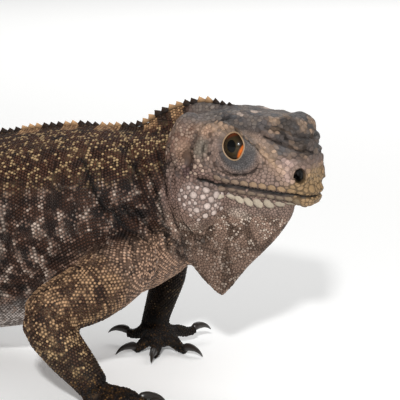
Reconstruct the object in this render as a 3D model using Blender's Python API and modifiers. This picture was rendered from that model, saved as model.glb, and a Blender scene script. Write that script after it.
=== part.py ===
"""A life-size still model of a Grand Cayman blue iguana, standing with its head raised.

Sizes are written in millimetres, and MM turns them into metres as each mesh is made.
The animal faces +X, its left side is +Y, and it stands on the plane Z = 0.
The head is shaped in its own frame: x forward from the back of the jaw, y to its left,
z up from the line of the mouth.
"""
import math

import bmesh
import bpy
import numpy as np
from mathutils import Euler, Matrix, Vector

MM = 0.001
GAP = 0.3

# Where the head sits, and how far it is turned to the animal's right, tipped down and leant.
HEAD_PLACE = (25.0, 0.0, 121.0)
HEAD_YAW = -9.6
HEAD_PITCH = 6.0
HEAD_ROLL = 2.0

EYE = (40.0, 24.0, 22.5)
EYE_RADIUS = 8.4
EYE_DEPTH = 5.6
EYE_SIDES = 16
NOSTRIL = (74.0, 14.2, 9.5)
NOSTRIL_HOLE = (3.1, 3.9, 2.7)
EAR = (12.0, 29.5, 12.0)

# Cross-sections of the trunk: x, height of the centre, half-width, reach up, reach down, squareness.
TRUNK = (
    (-330, 28, 17, 19, 19, 2.0),
    (-306, 33, 19, 20, 21, 2.0),
    (-278, 39, 26, 25, 26, 2.1),
    (-246, 48, 37, 33, 34, 2.2),
    (-210, 57, 48, 42, 44, 2.2),
    (-165, 65, 59, 50, 54, 2.2),
    (-120, 72, 64, 58, 58, 2.2),
    (-75, 80, 63, 59, 57, 2.2),
    (-35, 87, 57, 56, 51, 2.2),
    (-8, 91, 47, 51, 46, 2.1),
    (14, 98, 36, 48, 41, 2.0),
    (30, 106, 25, 42, 35, 2.0),
    (44, 112, 19, 34, 26, 2.0),
)

# Cross-sections of the skull and jaws in the head's frame, read the same way.
SKULL = (
    (-16, 6, 24, 16, 22, 2.1),
    (-4, 11, 28, 20, 29, 2.2),
    (6, 14, 30, 21, 32, 2.3),
    (18, 15.5, 29.5, 23, 33, 2.4),
    (30, 16, 26.5, 25.5, 30, 2.5),
    (44, 16.5, 22.5, 25.5, 28, 2.6),
    (56, 16, 19.5, 26, 25.5, 2.7),
    (65, 15, 17.5, 28, 23.0, 2.8),
    (71, 14, 15.5, 26, 21.0, 2.7),
    (76, 12, 12.5, 20, 17, 2.5),
    (79, 10, 7.5, 10, 11, 2.1),
)

# The throat pouch in the head's frame: height, back edge, front edge, half-thickness.
POUCH = (
    (-4, -8, 66, 17),
    (-14, -8, 67, 16),
    (-28, -6, 60, 11),
    (-41, -3, 50, 7.5),
    (-52, 1, 41, 5),
    (-61, 9, 35, 3.6),
    (-68, 19, 30, 2.4),
    (-71.5, 25, 27.5, 1.2),
)

# The fleshy blade along the nape: its middle and its half-thickness.
NAPE = (
    (60, -6, 151.5, 2.4),
    (47, -3, 151.5, 3.0),
    (37, -1, 152.6, 3.4),
    (27, 0, 151.6, 3.8),
    (17, 0, 147.5, 4.2),
    (7, 0, 141.5, 4.5),
    (-3, 0, 135.0, 4.5),
    (-16, 0, 133.5, 4.4),
)

# Folds of the trunk's skin: places as x and degrees up from the side, width, and depth where negative.
FOLDS = (
    (((-6, 62), (4, 40), (12, 15), (18, -20), (24, -60)), 3.2, -2.6),
    (((-22, 55), (-14, 35), (-8, 12)), 3.4, -1.8),
    (((-38, -22), (-80, -24), (-130, -22), (-188, -18)), 4.5, -2.2),
    (((-60, 24), (-64, 0), (-62, -16)), 3.6, -1.5),
    (((-96, 28), (-101, 2), (-98, -16)), 3.6, -1.5),
    (((-134, 26), (-139, 2), (-136, -16)), 3.6, -1.5),
)

# Rounded masses of each side of the trunk: middle, reach, how far they stand out.
BODY_MASSES = (
    ((-214, 36, 92), (28, 20, 18), 2.5),
    ((-24, 46, 112), (24, 16, 22), 2.5),
)

# The belly sags flat: middle, reach, how far it is lifted.
BELLY = ((-115, 0, 15), (130, 60, 14), 3.0)

# The two masses of each side of the head: centre, then reach along x, y and z.
JOWL = ((16, 17, -6), (16, 15, 24))
TEMPLE = ((6, 17, 22), (10, 12, 15))

# Smaller lumps and hollows of each side of the head: middle, reach, how far they stand out.
HEAD_LUMPS = (
    ((41, 23, 20), (17, 14, 13), -3.6),
    (NOSTRIL, (9, 9, 9), 3.0),
    (EAR, (5.5, 8, 8), -3.6),
    ((4, 28, 19), (7, 9, 10), 2.4),
    ((5, 24, 28), (5, 6, 5), 1.6),
    ((66, 9, 39), (8, 7, 7), 1.4),
    ((26, 13, 41), (9, 7, 6), 1.2),
    ((76.5, 5, -1), (9, 10, 8.5), 4.0),
)

# Ridges and grooves of each side of the head: places, width, height where positive.
LIPS = ((79.5, 3, -1), (74, 13, -0.5), (64, 17.5, 0), (48, 21.5, 0), (32, 26, 0.5), (21, 29, 1.5))
HEAD_LINES = (
    (((15, 25, 33), (28, 25, 34), (42, 22.5, 31), (55, 20, 24), (67, 18, 14)), 4.2, 3.0),
    (((20, 29, 14), (29, 27, 8), (41, 24, 6), (53, 20.5, 10)), 2.6, 1.4),
    (((22, 22, 38), (38, 17, 41), (56, 13, 41)), 5.0, 1.0),
    (((58, 16, 33), (66, 15, 29), (74, 11, 26)), 2.6, -1.3),
    (LIPS, 1.7, -3.2),
    (tuple((x, y, z + 4.6) for x, y, z in LIPS[:-1]), 2.2, 1.1),
    (tuple((x, y, z - 5) for x, y, z in LIPS), 2.6, 1.2),
    (((10, 22, -36), (18, 14, -48), (22, 5, -60)), 3.0, -1.2),
)

# The rim of the lids: its reach forward and up from the middle of the eye, width and height.
LID_REACH = (8.6, 8.0)
LID_RIM = (2.2, 2.8)

# Each limb: its joints from the root to the wrist or ankle, with the radius at each.
LIMBS = {
    "front_right": (((-4, -26, 79), 17), ((0, -44, 71), 19), ((-11, -66, 59), 18),
                    ((-29, -86, 48.5), 14), ((-18, -91, 34), 13.0), ((-4, -91, 19), 10.5), ((2, -90, 11), 9.0)),
    "front_left": (((-4, 26, 82), 17), ((0, 46, 74), 18), ((-10, 66, 65), 15),
                   ((-20, 84, 54), 12.5), ((-19, 76, 40), 11.5), ((-20, 65, 26), 9.5), ((-21, 56, 13), 8.5)),
    "hind_right": (((-222, -24, 58), 21), ((-212, -46, 56), 23), ((-188, -76, 54), 19),
                   ((-166, -100, 48), 15), ((-188, -109, 38), 13.5), ((-214, -118, 24), 9.5), ((-226, -122, 13), 8.0)),
    "hind_left": (((-222, 24, 58), 21), ((-214, 46, 56), 23), ((-194, 78, 54), 19),
                  ((-176, 104, 48), 15), ((-198, 113, 38), 13.5), ((-224, 121, 24), 9.5), ((-236, 125, 13), 8.0)),
}

# Thin cuts between nodes: a place in the cut, the way that it faces, half-width and half-height.
# The first two are in the head's frame.
HEAD_CUT = ((0, 0, -10), (0.99, 0, 0.13), 78, 90)
POUCH_CUT = ((30, 0, -24), (0, 0, 1), 70, 60)
NECK_CUT = ((-2, 0, 100), (0.866, 0, 0.5), 70, 62)
TRUNK_CUTS = tuple(((x, 0, 80), (1, 0, 0), 90, 90) for x in (-34, -86, -162, -244))

# A place on the skin of each length of the neck and trunk.
TRUNK_TOPS = {
    "neck": (8, 0, 151),
    "shoulders": (-4, 0, 46),
    "chest": (-60, 0, 141),
    "belly": (-120, 0, 130),
    "pelvis": (-205, 0, 100),
    "rump": (-275, 0, 65),
}

# How far from the middle of the animal each pair of limbs is cut from the trunk.
ROOT_CUT = {"front": 60.0, "hind": 66.0}

# Height at which the hind feet are cut from the legs.
ANKLE_HEIGHT = 15.0

# How far the cut at the elbow or knee reaches from the joint.
BEND_CUT = {"front": 30.0, "hind": 44.0}

# Each foot: the middle of its palm, then the heading, length and lift of its five toes.
FEET = {
    "front_right": ((8, -86, 6), ((36, 19, 0), (4, 25, 0), (-32, 28, 0), (-68, 25, 0), (-120, 18, 0))),
    "front_left": ((-15, 51, 8), ((170, 24, 5), (-124, 19, 0), (-76, 27, 0), (-22, 22, 0), (62, 29, 5))),
    "hind_right": ((-210, -134, 6), ((8, 27, 0), (-18, 34, 0), (-36, 43, 0), (-53, 50, 0), (-112, 27, 0))),
    "hind_left": ((-220, 137, 6), ((-8, 27, 0), (18, 34, 0), (36, 43, 0), (53, 50, 0), (112, 27, 0))),
}
# Reach of each palm forward, sideways and up.
PALM = {"front": (14, 12, 6.5), "hind": (22, 13, 7)}

# Along a toe: share of its length, height of its middle, radius.
TOE = ((0.1, 8.0, 4.8), (0.38, 7.4, 4.1), (0.52, 7.0, 4.4), (0.76, 3.7, 3.6), (1.0, 2.9, 3.6))
TOE_BEYOND = (5.0, 2.8, 3.4)

# Along a claw: distance from its root, height of its middle, half-width.
CLAW = ((0, 3.7, 2.2), (3.5, 4.9, 2.1), (7.5, 4.9, 1.7), (11, 3.4, 1.1), (13.5, 1.1, 0.4))
CLAW_SIDES = 6

# The tail: its length, how far it swings to the left in all, and its whorls of larger scales.
TAIL_START = (-306.0, 0.0, 33.0)
TAIL_LENGTH = 545.0
TAIL_SWING = 74.0
TAIL_ROOT = (19.0, 20.5)
TAIL_TIP = 2.0
TAIL_LOWERS = 105.0
TAIL_SINK = 0.15
TAIL_WHORLS = 38
TAIL_PIECES = 6
TAIL_SIDES = 12
WHORL_STEP = 0.7

# Crest spines: distance along the back, height of the tip, length of the base, width.
NAPE_SPINE = (4.2, 6.2, 3.0)
BACK_SPINE = (3.0, 5.6, 2.6)
TAIL_SPINE = (3.2, 5.8, 2.2)
SPINE_OVERLAP = 0.9
TAIL_SPINE_GAP = 2.4
SPINE_ROOT = 2.6
ROOT_MARGIN = 0.7
BACK_STARTS = -14.0
CREST_SHARE = 0.62
CRESTED = ("head", "neck", "shoulders", "chest", "belly", "pelvis", "rump")
CREST_LENGTH = 700.0

# Triangles spent on the head, on the body with its limbs, and on each foot.
HEAD_TRIANGLES = 3650
BODY_TRIANGLES = 2580
FOOT_TRIANGLES = 460

# How finely each is melted together.
HEAD_VOXEL = 1.0
BODY_VOXEL = 2.0
FOOT_VOXEL = 0.9

# Colour and roughness of each kind of surface.
FINISHES = {
    "hide": ((0.075, 0.05, 0.035), 0.6),
    "face": ((0.17, 0.13, 0.11), 0.55),
    "claw": ((0.03, 0.022, 0.018), 0.35),
    "eye": ((0.10, 0.045, 0.012), 0.12),
}


def clear_scene():
    for obj in list(bpy.data.objects):
        bpy.data.objects.remove(obj, do_unlink=True)


def collection(name):
    group = bpy.data.collections.new(name)
    bpy.context.scene.collection.children.link(group)
    return group


def smooth(t):
    """Rises from 0 to 1 with no corner at either end."""
    t = np.clip(t, 0.0, 1.0)
    return t * t * (3.0 - 2.0 * t)


def head_frame():
    """Turns a place in the head's frame into one in the animal's, both in millimetres."""
    turn = Euler((math.radians(HEAD_ROLL), math.radians(HEAD_PITCH), math.radians(HEAD_YAW)))
    return Matrix.Translation(HEAD_PLACE) @ turn.to_matrix().to_4x4()


def flowing(rows, steps):
    """Rows of numbers joined by a smooth curve, with this many steps from each row to the next."""
    rows = np.array(rows, float)
    padded = np.vstack([2 * rows[0] - rows[1], rows, 2 * rows[-1] - rows[-2]])
    out = []
    for before, here, there, after in zip(padded, padded[1:], padded[2:], padded[3:]):
        for t in np.arange(steps) / steps:
            out.append(0.5 * (2 * here + (there - before) * t
                              + (2 * before - 5 * here + 4 * there - after) * t * t
                              + (3 * here - before - 3 * there + after) * t ** 3))
    out.append(rows[-1])
    return out


def oval(centre, side, rise, width, up, down, squareness=2.0, count=28):
    """Points round a squared oval with its own reach up and down."""
    ring = []
    for k in range(count):
        angle = math.tau * k / count
        c, s = math.cos(angle), math.sin(angle)
        across = math.copysign(abs(c) ** (2 / squareness), c) * width
        along = math.copysign(abs(s) ** (2 / squareness), s) * (up if s > 0 else down)
        ring.append(Vector(centre) + Vector(side) * across + Vector(rise) * along)
    return ring


def mesh_object(name, shape, group):
    """Closes a bmesh into an object of this group, facing outward."""
    bmesh.ops.recalc_face_normals(shape, faces=shape.faces)
    if shape.calc_volume(signed=True) < 0:
        bmesh.ops.reverse_faces(shape, faces=shape.faces)
    mesh = bpy.data.meshes.new(name)
    shape.to_mesh(mesh)
    shape.free()
    obj = bpy.data.objects.new(name, mesh)
    group.objects.link(obj)
    return obj


def loft(name, rings, group):
    """A closed skin through rings of equally many points, with a flat cap at each end."""
    shape = bmesh.new()
    loops = [[shape.verts.new(Vector(p) * MM) for p in ring] for ring in rings]
    for low, high in zip(loops, loops[1:]):
        for k in range(len(low)):
            after = (k + 1) % len(low)
            shape.faces.new((low[k], low[after], high[after], high[k]))
    shape.faces.new(list(reversed(loops[0])))
    shape.faces.new(loops[-1])
    return mesh_object(name, shape, group)


def ball(name, centre, reach, group, frame=None, around=24):
    """An ellipsoid, placed in the given frame."""
    shape = bmesh.new()
    bmesh.ops.create_uvsphere(shape, u_segments=around, v_segments=around * 2 // 3, radius=1.0)
    place = (frame or Matrix()) @ Matrix.LocRotScale(Vector(centre), None, Vector(reach))
    shape.transform(Matrix.Scale(MM, 4) @ place)
    return mesh_object(name, shape, group)


def tube(name, stops, group, steps=4, count=16, flatten=1.0):
    """A round bar through places, each with a radius. Its height is the radius times flatten."""
    rows = flowing([(*place, radius) for place, radius in stops], steps)
    places = [Vector(row[:3]) for row in rows]
    rings = []
    for k, row in enumerate(rows):
        along = (places[min(k + 1, len(rows) - 1)] - places[max(k - 1, 0)]).normalized()
        side = along.cross(Vector((0.0, 0.0, 1.0)))
        side = side.normalized() if side.length > 0.05 else Vector((0.0, 1.0, 0.0))
        rise = side.cross(along).normalized()
        tall = row[3] * flatten
        rings.append(oval(places[k], side, rise, row[3], tall, tall, 2.0, count))
    return loft(name, rings, group)


def bake(obj):
    """Applies an object's modifiers to its mesh."""
    bpy.context.view_layer.update()
    graph = bpy.context.evaluated_depsgraph_get()
    made = bpy.data.meshes.new_from_object(obj.evaluated_get(graph))
    obj.modifiers.clear()
    old, obj.data = obj.data, made
    bpy.data.meshes.remove(old)
    return obj


def fuse(name, pieces, voxel, smoothing, group):
    """Melts overlapping closed pieces into one skin, softened where they meet."""
    shape = bmesh.new()
    for piece in pieces:
        shape.from_mesh(piece.data)
        bpy.data.objects.remove(piece, do_unlink=True)
    body = mesh_object(name, shape, group)
    melt = body.modifiers.new("Melt", "REMESH")
    melt.mode = "VOXEL"
    melt.voxel_size = voxel * MM
    soften = body.modifiers.new("Soften", "SMOOTH")
    soften.factor = 0.5
    soften.iterations = smoothing
    return bake(body)


def thin_out(obj, triangles):
    """Spends this many triangles, most of them where the form bends."""
    obj.data.calc_loop_triangles()
    fewer = obj.modifiers.new("Fewer", "DECIMATE")
    fewer.ratio = min(1.0, triangles / len(obj.data.loop_triangles))
    return bake(obj)


class Clay:
    """The points of a dense mesh, in millimetres in a frame, moved by soft brushes."""

    def __init__(self, obj, frame=None):
        self.obj = obj
        self.frame = np.array(frame or Matrix(), float)
        count = len(obj.data.vertices)
        flat = np.empty(count * 3, np.float32)
        obj.data.vertices.foreach_get("co", flat)
        back = np.linalg.inv(self.frame)
        self.points = (flat.reshape(-1, 3) / MM) @ back[:3, :3].T + back[:3, 3]
        flat = np.empty(count * 3, np.float32)
        obj.data.vertex_normals.foreach_get("vector", flat)
        self.normals = flat.reshape(-1, 3) @ back[:3, :3].T

    def swell(self, centre, reach, amount, along=None):
        """Pushes out, or in where amount is negative, within an ellipsoid."""
        near = (((self.points - np.array(centre)) / np.array(reach)) ** 2).sum(1)
        share = np.where(near < 1.0, (1.0 - near) ** 2, 0.0)
        way = self.normals if along is None else np.array(along, float)
        self.points += way * (share * amount)[:, None]

    def crease(self, path, width, amount, steps=5):
        """Raises a ridge along a curved line on the skin, or sinks a groove where negative."""
        line = np.array(flowing(path, steps))
        nearest = np.full(len(self.points), np.inf)
        for start, end in zip(line, line[1:]):
            run = end - start
            t = np.clip((self.points - start) @ run / max(run @ run, 1e-9), 0.0, 1.0)
            away = ((self.points - start - t[:, None] * run) ** 2).sum(1)
            nearest = np.minimum(nearest, away)
        self.points += self.normals * (amount * np.exp(-nearest / width ** 2))[:, None]

    def done(self):
        world = self.points @ self.frame[:3, :3].T + self.frame[:3, 3]
        self.obj.data.vertices.foreach_set("co", (world * MM).astype(np.float32).ravel())
        self.obj.data.update()
        return self.obj


def both_sides(place):
    """A place on the animal's left and its mirror on the right."""
    x, y, z = place
    return (x, y, z), (x, -y, z)


def head_blank(group):
    """The skull, jaws, jowls, throat pouch and the start of the neck, melted together."""
    frame = head_frame()
    axes = frame.to_3x3()
    side, rise = axes @ Vector((0, 1, 0)), axes @ Vector((0, 0, 1))
    rings = [oval(frame @ Vector((x, 0, z)), side, rise, width, up, down, square)
             for x, z, width, up, down, square in flowing(SKULL, 3)]
    pieces = [loft("skull", rings, group)]
    ahead = axes @ Vector((1, 0, 0))
    rings = [oval(frame @ Vector(((back + front) / 2, 0, z)), ahead, side, (front - back) / 2, thick, thick)
             for z, back, front, thick in flowing(POUCH, 3)]
    pieces.append(loft("pouch", rings, group))
    for mass in (JOWL, TEMPLE):
        for place in both_sides(mass[0]):
            pieces.append(ball("mass", place, mass[1], group, frame))
    return pieces


def trunk_blank(group, first=0):
    rings = [oval((x, 0, z), (0, 1, 0), (0, 0, 1), width, up, down, square, 32)
             for x, z, width, up, down, square in flowing(TRUNK[first:], 3)]
    return loft("trunk", rings, group)


def nape_ridge(group):
    """The fleshy blade along the nape, under the crest."""
    stops = [((x, y, z), radius) for x, y, z, radius in NAPE]
    return tube("ridge", stops, group, flatten=2.2)


def carve_head(head):
    """The sockets, brows, lips, nostrils, ears and folds of the head."""
    clay = Clay(head, head_frame())
    for hand in (0, 1):
        for centre, reach, amount in HEAD_LUMPS:
            clay.swell(both_sides(centre)[hand], reach, amount)
        for path, width, amount in HEAD_LINES:
            clay.crease([both_sides(place)[hand] for place in path], width, amount)
        lid = [(EYE[0] + LID_REACH[0] * math.cos(a), EYE[1] - 0.5, EYE[2] + LID_REACH[1] * math.sin(a))
               for a in np.linspace(0.0, math.tau, 13)]
        clay.crease([both_sides(place)[hand] for place in lid], *LID_RIM, 2)
    return clay.done()


def trunk_spot(x, degrees):
    """A place on the trunk's skin: 0 degrees is its left side and 90 its back."""
    rows = np.array(TRUNK)
    middle, width, up, down, square = (float(np.interp(x, rows[:, 0], rows[:, k])) for k in range(1, 6))
    c, s = math.cos(math.radians(degrees)), math.sin(math.radians(degrees))
    reach = up if s > 0 else down
    return (x, math.copysign(abs(c) ** (2 / square), c) * width,
            middle + math.copysign(abs(s) ** (2 / square), s) * reach)


def carve_body(body):
    """The loose folds of the neck and flanks, the hips, and the ridge under the crest."""
    clay = Clay(body)
    for hand in (0, 1):
        for path, width, depth in FOLDS:
            spots = [trunk_spot(x, 180 - degrees if hand else degrees) for x, degrees in path]
            clay.crease(spots, width, depth)
        for centre, reach, amount in BODY_MASSES:
            clay.swell(both_sides(centre)[hand], reach, amount)
    clay.crease([trunk_spot(x, 90) for x in (-16, -60, -120, -180, -240, -300)], 4.5, 1.3)
    clay.swell(BELLY[0], BELLY[1], BELLY[2], (0, 0, 1))
    return clay.done()


def cut_slab(place, facing, half_width, half_height, group, frame=None):
    """A slab as thin as the gap between two nodes, facing the given way."""
    shape = bmesh.new()
    bmesh.ops.create_cube(shape, size=1.0)
    turn = Vector(facing).to_track_quat("X", "Z").to_matrix().to_4x4()
    size = Matrix.Diagonal((GAP, half_width * 2, half_height * 2, 1.0))
    shape.transform(Matrix.Scale(MM, 4) @ (frame or Matrix()) @ Matrix.Translation(place) @ turn @ size)
    slab = mesh_object("slab", shape, group)
    slab.hide_render = True
    slab.display_type = "WIRE"
    return slab


def cut_away(obj, cutters):
    """Takes each cutter's shape out of the object, and removes the cutter."""
    for cutter in cutters:
        cut = obj.modifiers.new("Cut", "BOOLEAN")
        cut.operation = "DIFFERENCE"
        cut.solver = "MANIFOLD"
        cut.object = cutter
    bake(obj)
    for cutter in cutters:
        bpy.data.objects.remove(cutter, do_unlink=True)
    return obj


def loose_parts(mesh):
    """The separate surfaces of a mesh, each as the set of its faces."""
    shape = bmesh.new()
    shape.from_mesh(mesh)
    shape.faces.ensure_lookup_table()
    left = set(range(len(shape.faces)))
    found = []
    while left:
        edge = [left.pop()]
        island = set(edge)
        while edge:
            face = shape.faces[edge.pop()]
            for side in face.edges:
                for other in side.link_faces:
                    if other.index in left:
                        left.discard(other.index)
                        island.add(other.index)
                        edge.append(other.index)
        found.append(island)
    return shape, found


def take_part(shape, island, name, group):
    copy = shape.copy()
    copy.faces.ensure_lookup_table()
    bmesh.ops.delete(copy, geom=[face for face in copy.faces if face.index not in island], context="FACES")
    return mesh_object(name, copy, group)


def divide(obj, named_places, group):
    """Makes an object of each loose part that lies nearest a named place, and drops the others."""
    shape, islands = loose_parts(obj.data)
    made = {}
    for name, place in named_places.items():
        place = Vector(place) * MM
        nearest = min(islands, key=lambda island: min(
            (corner.co - place).length for k in island for corner in shape.faces[k].verts))
        islands.remove(nearest)
        made[name] = take_part(shape, nearest, name, group)
    shape.free()
    bpy.data.objects.remove(obj, do_unlink=True)
    return made


def largest_part(obj):
    """Keeps only the largest closed surface of an object."""
    shape, islands = loose_parts(obj.data)
    best = max(islands, key=len)
    bmesh.ops.delete(shape, geom=[face for face in shape.faces if face.index not in best], context="FACES")
    shape.to_mesh(obj.data)
    shape.free()
    return obj


def flatten_below(obj, height=0.0):
    """Cuts an object off flat at a height and closes it there."""
    shape = bmesh.new()
    shape.from_mesh(obj.data)
    bmesh.ops.bisect_plane(shape, geom=shape.verts[:] + shape.edges[:] + shape.faces[:], dist=1e-7,
                           plane_co=(0, 0, height * MM), plane_no=(0, 0, -1), clear_outer=True)
    rim = [edge for edge in shape.edges if edge.is_boundary]
    bmesh.ops.holes_fill(shape, edges=rim, sides=0)
    bmesh.ops.triangulate(shape, faces=shape.faces)
    bmesh.ops.recalc_face_normals(shape, faces=shape.faces)
    shape.to_mesh(obj.data)
    shape.free()
    return obj


def head_slab(group):
    return cut_slab(*HEAD_CUT, group, head_frame())


def make_head(group):
    """The head and the throat pouch under it, and the two eyes in their sockets."""
    frame = head_frame()
    head = fuse("head_whole", head_blank(group) + [trunk_blank(group, 9), nape_ridge(group)],
                HEAD_VOXEL, 6, group)
    carve_head(head)
    thin_out(head, HEAD_TRIANGLES)
    sunk = EYE[1] - EYE_DEPTH
    sockets = [ball("socket", place, (EYE_RADIUS + GAP,) * 3, group, frame, EYE_SIDES)
               for place in both_sides((EYE[0], sunk, EYE[2]))]
    nostrils = [ball("nostril", place, NOSTRIL_HOLE, group, frame, 9) for place in both_sides(NOSTRIL)]
    pouch_slab = cut_slab(*POUCH_CUT, group, frame)
    cut_away(head, sockets + nostrils + [head_slab(group), pouch_slab])
    made = divide(head, {"head": frame @ Vector((60, 0, 20)), "dewlap": frame @ Vector((20, 0, -50))}, group)
    for name, place in zip(("eye_left", "eye_right"), both_sides((EYE[0], sunk, EYE[2]))):
        made[name] = ball(name, place, (EYE_RADIUS,) * 3, group, frame, EYE_SIDES)
    return made


def make_body(group):
    """The neck, trunk and limbs down to the wrists and ankles."""
    body = fuse("body", [trunk_blank(group), nape_ridge(group)]
                + [tube(name, stops, group) for name, stops in LIMBS.items()],
                BODY_VOXEL, 8, group)
    carve_body(body)
    thin_out(body, BODY_TRIANGLES)
    slabs = [head_slab(group), cut_slab(TAIL_START, (1, 0, 0), 50, 40, group)]
    slabs += [cut_slab(*cut, group) for cut in (NECK_CUT, *TRUNK_CUTS)]
    places = dict(TRUNK_TOPS)
    for name, stops in LIMBS.items():
        hand = 1 if "left" in name else -1
        inner, outer, bend, below = (Vector(stop[0]) for stop in stops[1:5])
        limb = (outer - inner).normalized()
        kind = name.split("_")[0]
        root = inner + limb * ((ROOT_CUT[kind] - abs(inner.y)) / abs(limb.y))
        slabs.append(cut_slab(root, limb + Vector((0, hand, 0)), 25, 25, group))
        across = (bend - outer).normalized() + (below - bend).normalized()
        slabs.append(cut_slab(bend, across, BEND_CUT[kind], 30, group))
        slabs.append(foot_slab(name, group))
        places[f"{name}_upper"] = Vector(stops[2][0]) + Vector((0, 0, 14))
        places[f"{name}_lower"] = Vector(stops[4][0]).lerp(Vector(stops[5][0]), 0.5) + Vector((0, hand * 9, 0))
    cut_away(body, slabs)
    return divide(body, places, group)


def foot_slab(name, group):
    """Cuts a wrist square across, and an ankle level, above the foot that runs forward under it."""
    above, wrist = Vector(LIMBS[name][-2][0]), Vector(LIMBS[name][-1][0])
    if name.startswith("hind"):
        level = above.lerp(wrist, (above.z - ANKLE_HEIGHT) / (above.z - wrist.z))
        return cut_slab(level, (0, 0, 1), 20, 20, group)
    return cut_slab(above.lerp(wrist, 0.5), wrist - above, 19, 19, group)


def make_foot(name, group):
    """A palm with five toes, and a claw for each."""
    kind, hand = name.split("_")
    palm, toes = FEET[name]
    middle = Vector(palm)
    heading = math.radians(toes[2][0])
    turn = Matrix.Translation(middle) @ Matrix.Rotation(heading, 4, "Z")
    pieces = [ball("palm", (0, 0, 0), PALM[kind], group, turn), tube("limb", LIMBS[name][4:], group)]
    slabs = [foot_slab(name, group)]
    claws = {}
    for number, (angle, length, lift) in enumerate(toes, 1):
        angle = math.radians(angle)
        way = Vector((math.cos(angle), math.sin(angle), 0.0))
        base = Vector((middle.x, middle.y, 0.0))
        stops = [(base + way * length * share + Vector((0, 0, height + lift * share)), radius)
                 for share, height, radius in TOE]
        beyond, height, radius = TOE_BEYOND
        stops.append((base + way * (length + beyond) + Vector((0, 0, height + lift)), radius))
        pieces.append(tube("toe", stops, group, 4, 12))
        end = base + way * length + Vector((0, 0, lift))
        slabs.append(cut_slab(end + Vector((0, 0, 4)), way, 5.5, 7, group))
        side = way.cross(Vector((0, 0, 1)))
        rings = [oval(end + way * (run + GAP / 2) + Vector((0, 0, lift)), side, Vector((0, 0, 1)),
                      half, half * 1.15, half * 1.15, 2.0, CLAW_SIDES) for run, lift, half in CLAW]
        claw = f"claw_{name}_{number}"
        claws[claw] = loft(claw, rings, group)
    foot = fuse(name, pieces, FOOT_VOXEL, 5, group)
    thin_out(foot, FOOT_TRIANGLES)
    flatten_below(foot)
    cut_away(foot, slabs)
    made = divide(foot, {f"foot_{name}": middle + Vector((0, 0, 7))}, group)
    made.update(claws)
    return made


def tail_line():
    """Places along the middle of the tail, with their headings, a millimetre apart."""
    place = Vector((TAIL_START[0], TAIL_START[1], 0.0))
    line = []
    for step in range(int(TAIL_LENGTH) + 1):
        share = step / TAIL_LENGTH
        angle = math.radians(180.0 - TAIL_SWING * float(smooth(share * 0.9 + 0.02)))
        way = Vector((math.cos(angle), math.sin(angle), 0.0))
        line.append((place.copy(), way))
        place += way
    return line


def tail_ring(line, run, extra):
    """One ring of the tail, flat where it lies on the floor."""
    place, way = line[min(int(round(run)), len(line) - 1)]
    share = min(run / TAIL_LENGTH, 1.0)
    wide = TAIL_TIP + (TAIL_ROOT[0] - TAIL_TIP) * (1 - share) ** 1.15 + extra
    tall = TAIL_TIP + (TAIL_ROOT[1] - TAIL_TIP) * (1 - share) ** 1.05 + extra
    down = float(smooth(run / TAIL_LOWERS))
    lifted = (TAIL_START[2] - TAIL_ROOT[1]) * (1 - down)
    middle = Vector((place.x, place.y, lifted + tall * (1 - TAIL_SINK * down)))
    side = way.cross(Vector((0, 0, 1)))
    ring = oval(middle, side, Vector((0, 0, 1)), wide, tall, tall, 2.0, TAIL_SIDES)
    return [Vector((p.x, p.y, max(p.z, 0.0))) for p in ring]


def make_tail(group):
    """Lengths of tail, stepped at each whorl of larger scales."""
    line = tail_line()
    made = {}
    ends = [TAIL_LENGTH * (1 - (1 - k / TAIL_WHORLS) ** 1.12) for k in range(TAIL_WHORLS + 1)]
    each = TAIL_WHORLS / TAIL_PIECES
    for piece in range(TAIL_PIECES):
        first, last = round(piece * each), round((piece + 1) * each)
        rings = []
        for k in range(first, last):
            start = ends[k] + (GAP if k == first else 0.35)
            step = WHORL_STEP * (1 - 0.6 * k / TAIL_WHORLS) if k else 0.0
            rings.append(tail_ring_at(line, start, 0.0))
            rings.append(tail_ring_at(line, ends[k + 1], step))
        made[f"tail_{piece + 1}"] = loft(f"tail_{piece + 1}", rings, group)
    return made


def tail_ring_at(line, run, extra):
    """A ring between two of the line's places."""
    low = math.floor(run)
    part = run - low
    near = tail_ring(line, low, extra)
    far = tail_ring(line, low + 1, extra)
    return [a.lerp(b, part) for a, b in zip(near, far)]


def spine(foot, ahead, rise, height, length, width, group):
    """A thin blade that leans back, its root sunk in the flesh."""
    side = rise.cross(ahead).normalized()
    shape = bmesh.new()
    levels = ((-SPINE_ROOT, 1.0, 0.0), (height * 0.35, 0.78, -length * 0.08), (height, 0.0, -length * 0.4))
    rings = []
    for lift, share, back in levels:
        middle = foot + rise * lift + ahead * back
        if share == 0.0:
            rings.append([shape.verts.new(middle * MM)])
            continue
        corners = (ahead * length / 2, side * width / 2, ahead * -length / 2, side * -width / 2)
        rings.append([shape.verts.new((middle + corner * share) * MM) for corner in corners])
    for k in range(4):
        after = (k + 1) % 4
        shape.faces.new((rings[0][k], rings[0][after], rings[1][after], rings[1][k]))
        shape.faces.new((rings[1][k], rings[1][after], rings[2][0]))
    shape.faces.new(rings[0])
    return mesh_object("spine", shape, group)


def top_of(nodes, spot):
    """The uppermost node at a place seen from above, and its height there in millimetres."""
    found = (None, -1.0)
    for name, node in nodes.items():
        hit, place, normal, face = node.ray_cast(Vector((spot.x, spot.y, 300.0)) * MM, Vector((0, 0, -1)))
        if hit and place.z / MM > found[1]:
            found = (name, place.z / MM)
    return found


def crest_line():
    """Places along the middle of the back and tail, from the crown to the tail's thin part."""
    places = [Vector((x, y, 0.0)) for x, y, z, radius in flowing(NAPE, 12)]
    x = places[-1].x
    while x > TAIL_START[0]:
        x -= 1.0
        places.append(Vector((x, 0.0, 0.0)))
    places += [place for place, way in tail_line()[1:int(TAIL_LENGTH * CREST_SHARE)]]
    return places


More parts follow.
